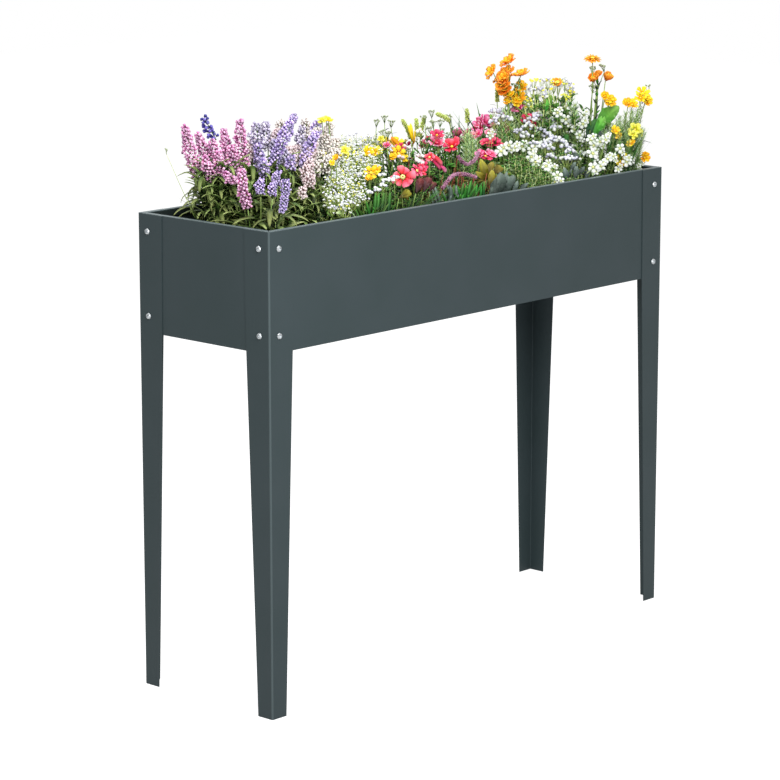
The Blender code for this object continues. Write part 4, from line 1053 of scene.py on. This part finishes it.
for kind, copies in groups.items():
    plantPiece(kind + "Bed", copies, "leaf_green")

copies = []
bladeTufts = [  # x and y in mm, blades, kinds, steepness, rise in mm, and maybe the headings
    (-150, -116, 40, "grass grass grassArch", (0.6, 2), 62, (-0.9, 0.5)),
    (-132, -112, 34, "grass grass grassArch", (0.6, 2), 62, (-0.9, 0.5)),
    (-110, -118, 34, "grass grassArch", (0.5, 2), 50), (-80, -112, 30, "grass grassArch", (0.5, 2), 52),
    (-50, -116, 8, "greyBlade", (2.5, 8), 46), (-30, -114, 8, "greyBlade greenBlade", (2.5, 8), 48),
    (-10, -116, 8, "greyBlade greenBlade", (2.5, 8), 46), (6, -112, 9, "greenBlade", (2.5, 8), 46),
    (22, -112, 9, "greenBlade", (2.5, 8), 44), (-235, -118, 10, "greenBlade", (2, 7), 44),
    (-215, -116, 9, "greenBlade", (2, 7), 42), (-265, -118, 14, "oliveGrass", (0.8, 2.5), 40),
    (-290, -118, 14, "oliveGrass", (0.8, 2.5), 38), (-310, -116, 14, "oliveGrass grassArch", (0.8, 2.5), 38),
    (0, -40, 22, "grass grassArch", (0.8, 4), 66), (60, -30, 22, "grass grassArch", (0.8, 4), 70),
    (80, 70, 22, "grass", (1.5, 5), 90), (-20, 60, 18, "grass", (1.5, 5), 80), (455, -60, 14, "grass", (4, 9), 85),
    (462, -30, 12, "grass", (3, 8), 80), (300, 80, 24, "grass", (1.5, 5), 105),
    (220, 90, 20, "grass grassArch", (1.5, 5), 95), (448, -100, 20, "grass", (3, 8), 75),
    (350, 100, 20, "grass", (1.5, 5), 85)]
for tuft in bladeTufts:
    addTuft(copies, *tuft)
wine = {"count": 46, "x": (-0.01, 0.115), "y": (-0.118, -0.03), "rise": (0.040, 0.075)}
for i in range(wine["count"]):
    low = Vector((random.uniform(*wine["x"]), random.uniform(*wine["y"]), rootLevel))
    high = low + Vector((random.uniform(-0.015, 0.015), 0, random.uniform(*wine["rise"])))
    copies.append(stemBetween("stemWineThin", low, high, 0.0010))
plantPiece("bladeGrass", copies, "leaf_green", "blade_grass")

broad = [  # leaf, foot and tip in mm, and maybe the way its upper face looks
    ("brightBlade", 1, -120, 787, 18, -120, 827), ("brightBlade", 4, -122, 789, 26, -122, 817, (-0.7, -0.6, 0.3)),
    ("brightBlade", 22, -120, 784, 30, -122, 818, (-0.6, -0.7, 0.2)), ("greenBlade", -11, -118, 786, -3, -120, 823),
    ("greenBlade", -34, -118, 786, -26, -120, 822), ("greyBlade", -26, -120, 788, -43, -120, 821),
    ("greenBlade", -4, -116, 789, -15, -118, 817), ("greyBlade", -44, -120, 790, -56, -122, 812),
    ("brightBlade", 37, -121, 785, 41, -123, 814, (-0.5, -0.8, 0.2)),
    ("greenBlade", 47, -120, 785, 46, -122, 820, (-0.7, -0.6, 0.2)),
    ("greyLong", 64, -122, 786, 85, -124, 833, (-0.8, -0.5, 0.2)),
    ("greyBroad", 76, -124, 790, 96, -125, 836, (-0.5, -0.8, 0.2)),
    ("greyLong", 94, -122, 788, 101, -124, 833, (-0.8, -0.5, 0.3)),
    ("greyBroad", 102, -122, 788, 114, -124, 826, (-0.4, -0.8, 0.4)),
    ("greyLong", 118, -122, 788, 133, -126, 814, (-0.4, -0.8, 0.5)),
    ("greyLong", 140, -120, 790, 162, -124, 809, (-0.7, -0.5, 0.5)),
    ("greyBroad", 118, -112, 792, 136, -114, 826, (-0.7, -0.6, 0.2)),
    ("greyLong", 56, -124, 788, 69, -124, 812, (-0.4, -0.8, 0.3)), ("brightBlade", -227, -121, 785, -222, -122, 830),
    ("greenBlade", -211, -120, 785, -203, -121, 829, (-0.7, -0.6, 0.3)),
    ("greenBlade", -193, -120, 785, -186, -121, 827), ("greenBlade", -219, -118, 785, -212, -120, 828),
    ("greenBlade", -202, -118, 785, -194, -120, 828), ("wineBroad", -115, -112, 815, -95, -110, 846),
    ("wineBroad", -96, -112, 815, -71, -106, 847, (-0.7, -0.6, 0.3)),
    ("wineBroad", -78, -110, 814, -54, -102, 836, (-0.5, -0.7, 0.4)), ("brightBlade", -233, -121, 785, -245, -122, 817),
    ("greenBlade", -221, -121, 785, -217, -122, 820, (-0.7, -0.6, 0.2)),
    ("greenBlade", -209, -120, 785, -197, -122, 815), ("greenBlade", -241, -118, 785, -230, -120, 818),
    ("oliveBroad", 91, -90, 814, 74, -92, 849, (-0.7, -0.6, 0.3)),
    ("oliveBroad", 109, -84, 819, 144, -86, 840, (-0.6, -0.7, 0.4)), ("oliveBroad", 85, -100, 801, 91, -104, 835),
    ("oliveBroad", 85, -92, 814, 63, -96, 830, (-0.7, -0.6, 0.4)),
    ("oliveBroad", 101, -80, 818, 117, -82, 847, (-0.6, -0.6, 0.4)), ("oliveBroad", -148, -104, 810, -115, -110, 824),
    ("oliveBroad", -140, -105, 814, -118, -108, 806, (-0.6, -0.7, 0.4)),
    ("greyBroad", 300, -112, 797, 296, -122, 817, (-0.5, -0.7, 0.5)),
    ("greyBroad", 312, -108, 801, 322, -118, 817, (-0.4, -0.8, 0.5)),
    ("greyBroad", 286, -110, 799, 277, -120, 813, (-0.7, -0.5, 0.5)),
    ("greyBroad", 330, -106, 799, 340, -120, 809, (-0.4, -0.7, 0.6)),
    ("greyBroad", 304, -98, 807, 310, -106, 825, (-0.5, -0.7, 0.5)),
    ("greyBroad", 350, -110, 797, 362, -120, 807, (-0.4, -0.7, 0.6)),
    ("greyBroad", 345, -60, 813, 372, -66, 837, (-0.6, -0.6, 0.5)),
    ("greyBroad", 440, -50, 847, 469, -50, 862, (-0.5, -0.7, 0.5)),
    ("freshLong", 432, -45, 858, 502, -58, 920, (-0.8, -0.5, 0.2)),
    ("deepLong", 428, -40, 846, 490, -52, 893, (-0.4, -0.8, 0.5)),
    ("freshLong", 420, -50, 849, 458, -60, 897, (-0.5, -0.8, 0.2)),
    ("deepLong", 432, -30, 842, 460, -30, 891, (-0.8, -0.5, 0.3)),
    ("greyLong", 419, -60, 845, 456, -65, 870, (-0.6, -0.6, 0.4)),
    ("freshLong", 416, 60, 886, 446, 60, 926, (-0.7, -0.6, 0.3)),
    ("deepLong", 453, 50, 894, 468, 50, 919, (-0.4, -0.8, 0.3)), ("freshLong", 436, 40, 849, 460, 40, 873),
    ("freshLong", 406, 50, 885, 420, 50, 917), ("deepBroad", 400, 0, 831, 412, -4, 859, (-0.6, -0.6, 0.5)),
    ("paleBroad", -300, -120, 802, -315, -126, 810, (-0.6, -0.6, 0.6)), ("greyBroad", 272, -118, 792, 264, -120, 820),
    ("greyBroad", 294, -118, 792, 297, -120, 821, (-0.5, -0.7, 0.4)),
    ("greyLong", 321, -118, 792, 331, -121, 812, (-0.6, -0.6, 0.5)),
    ("greyBroad", 338, -118, 793, 352, -121, 807, (-0.4, -0.7, 0.6)), ("deepBroad", 366, 80, 871, 376, 80, 906),
    ("freshBroad", 301, 90, 866, 311, 90, 896)]
copies = []
for leaf, *ends in broad:
    foot, tip = metres(*ends[:3]), metres(*ends[3:6])
    copies.append(laid(leaf, foot, tip, ends[6] if len(ends) > 6 else (-0.6, -0.7, 0.3)))
    addStem(copies, "stemGreenThin", foot, thick=0.0013, pull=0.1)
plantPiece("broadLeaves", copies, "leaf_green")

rear = {  # flowers that look out over the back rim: kind, x range, count, size
    "slot": "yellow_flower", "y": (0.114, 0.128), "z": (0.830, 0.858),
    "kinds": [("lime", (-0.13, 0.08), 6, 0.8), ("yellow", (-0.06, 0.12), 7, 0.9), ("coral", (0.02, 0.12), 4, 0.7),
              ("red", (0.06, 0.22), 6, 1.0), ("magenta", (0.16, 0.36), 8, 1.0), ("white", (0.22, 0.46), 16, 0.9),
              ("orange", (0.30, 0.44), 5, 0.9), ("amber", (0.38, 0.47), 5, 0.9)]}
copies = []
for kind, xs, count, size in rear["kinds"]:
    for i in range(count):
        spot = (random.uniform(*xs), random.uniform(*rear["y"]), random.uniform(*rear["z"]))
        flowerSize = size * random.uniform(0.8, 1.1)
        addFlower(copies, kind, spot, flowerSize, (random.uniform(-0.3, 0.3), 0.7, random.uniform(0.3, 0.8)))
plantPiece("rearFlowers", copies, rear["slot"])
print("foliage planted")

soilLook = {"columns": 96, "rows": 30, "underTop": 0.002, "gap": 0.002, "lumps": 0.0035, "lumpScale": 55,
            "crumbs": 420, "crumb": (0.0012, 0.0034)}
clearPick()
bpy.ops.mesh.primitive_grid_add(x_subdivisions=soilLook["columns"], y_subdivisions=soilLook["rows"], size=1,
                                location=(0, 0, soilTop - soilLook["underTop"]))
earthBed = bpy.context.object
earthBed.name = "pottingSoil"
bpy.ops.object.mode_set(mode="EDIT")
bpy.ops.transform.resize(value=(soilHigh.x * 2 - soilLook["gap"], soilHigh.y * 2 - soilLook["gap"], 1),
                         center_override=(0, 0, 0))
bpy.ops.mesh.select_all(action="SELECT")
bpy.ops.mesh.extrude_region_move(TRANSFORM_OT_translate={"value": (0, 0, soilLow.z + 0.004 - soilTop)})
bpy.ops.mesh.select_all(action="SELECT")
bpy.ops.mesh.normals_make_consistent(inside=False)
bpy.ops.object.mode_set(mode="OBJECT")
bpy.ops.object.transform_apply(location=True, rotation=False, scale=False)
for vertex in earthBed.data.vertices:
    if vertex.co.z > soilTop - 0.004:
        vertex.co.z += soilLook["lumps"] * noise.fractal(vertex.co * soilLook["lumpScale"], 0.8, 2.0, 4)
clearPick()
bpy.ops.mesh.primitive_ico_sphere_add(subdivisions=1, radius=1.0)
units["crumb"] = crumb = readyUnit(bpy.context.object, earth, lambda co: (0.5, 0.5))
for vertex in crumb.data.vertices:
    vertex.co *= 1 + 0.5 * noise.noise(vertex.co * 3)
crumbs = []
for i in range(soilLook["crumbs"]):
    spot = Vector((random.uniform(-0.98, 0.98) * soilHigh.x, random.uniform(-0.96, 0.96) * soilHigh.y,
                   soilTop + random.uniform(-0.003, 0.001)))
    crumbs.append(placed("crumb", spot, wobble(1.0), 0, random.uniform(*soilLook["crumb"])))
plantPiece("soilCrumbs", crumbs, "potting_soil")
earthBed.data.materials.append(earth)
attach(earthBed, "root")
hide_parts("soil")

for name, node in frame["nodes"].items():  # finishes for what stays as it was built, and for the hidden plant solids
    chosen = paints["deepLeaf"]
    if name.startswith("leg_") or name.endswith("_panel") or name == "floor_tray":
        chosen = coat
    elif name.startswith(("screw_", "nut_")):
        chosen = zinc
    elif name == "soil":
        chosen = earth
    if not node.material_slots:
        node.data.materials.append(chosen)
    for materialSlot in node.material_slots:
        materialSlot.material = chosen
print("box, screws and soil finished")

studio = {"floorSize": 16, "floorColour": (0.48, 0.48, 0.48, 1), "floorGlow": 0.82, "skyLight": 0.42,
          "aim": (0, 0, 0.75), "lamps": {  # place, size and power of each soft box
              "keySoftbox": ((-1.35, -1.75, 2.1), 1.6, 72),
              "fillSoftbox": ((2.8, -2.4, 2.2), 2.4, 6),
              "topSoftbox": ((0.2, 0.6, 3.2), 2.0, 52)}}


def whiteWhenSeen(tree):  # 1 for rays that show the background itself
    path = addNode(tree, "LightPath", {}).outputs
    seen = addMath(tree, "MAXIMUM", path["Is Camera Ray"], path["Is Glossy Ray"])
    return addMath(tree, "MAXIMUM", seen, path["Is Transmission Ray"])


def buildStudio():
    clearPick()
    bpy.ops.mesh.primitive_plane_add(size=studio["floorSize"], location=(0, 0, 0))
    floor = bpy.context.object
    floor.name = "studioFloor"
    paint, tree, shader = newPaint("paleFloor", {"Roughness": 0.9, "Specular IOR Level": 0.0,
                                                 "Base Color": studio["floorColour"]})
    glow = addNode(tree, "Emission", {"Strength": addMath(tree, "MULTIPLY", whiteWhenSeen(tree), studio["floorGlow"])})
    both = addNode(tree, "AddShader", {0: shader.outputs[0], 1: glow.outputs[0]})
    feed(tree, tree.nodes["Material Output"], {"Surface": both.outputs[0]})
    floor.data.materials.append(paint)
    sky = bpy.data.worlds.new("studioSky")
    bpy.context.scene.world = sky
    sky.use_nodes = True
    tree = sky.node_tree
    light = tree.nodes["Background"]
    feed(tree, light, {"Color": (1, 1, 1, 1), "Strength": studio["skyLight"]})
    shown = addNode(tree, "Background", {"Color": (1, 1, 1, 1)})
    mix = addNode(tree, "MixShader", {0: whiteWhenSeen(tree), 1: light.outputs[0], 2: shown.outputs[0]})
    feed(tree, tree.nodes["World Output"], {"Surface": mix.outputs[0]})


def addToScene(name, data, place, turn):
    holder = bpy.data.objects.new(name, data)
    holder.location = place
    holder.rotation_euler = turn
    bpy.context.scene.collection.objects.link(holder)
    return holder


buildStudio()
for name, (place, size, power) in studio["lamps"].items():
    lamp = bpy.data.lights.new(name, "AREA")
    lamp.shape = "SQUARE"
    lamp.size = size
    lamp.energy = power
    addToScene(name, lamp, place, (Vector(place) - Vector(studio["aim"])).to_track_quat("Z", "Y").to_euler())
view = {"place": (-4.0208, -3.6571, 1.6013), "turn": (1.36162, 0, -0.82565), "lens": 147.88, "sensor": 36}
camera = addToScene("viewCamera", bpy.data.cameras.new("viewCamera"), view["place"], view["turn"])
camera.data.lens = view["lens"]
camera.data.sensor_width = view["sensor"]
bpy.context.scene.camera = camera
bpy.context.scene.view_settings.view_transform = "Standard"

for unit in list(units.values()) + [o for o in bpy.data.objects if o.name.startswith("stemCopy")]:
    bpy.data.objects.remove(unit, do_unlink=True)
print("scene ready")
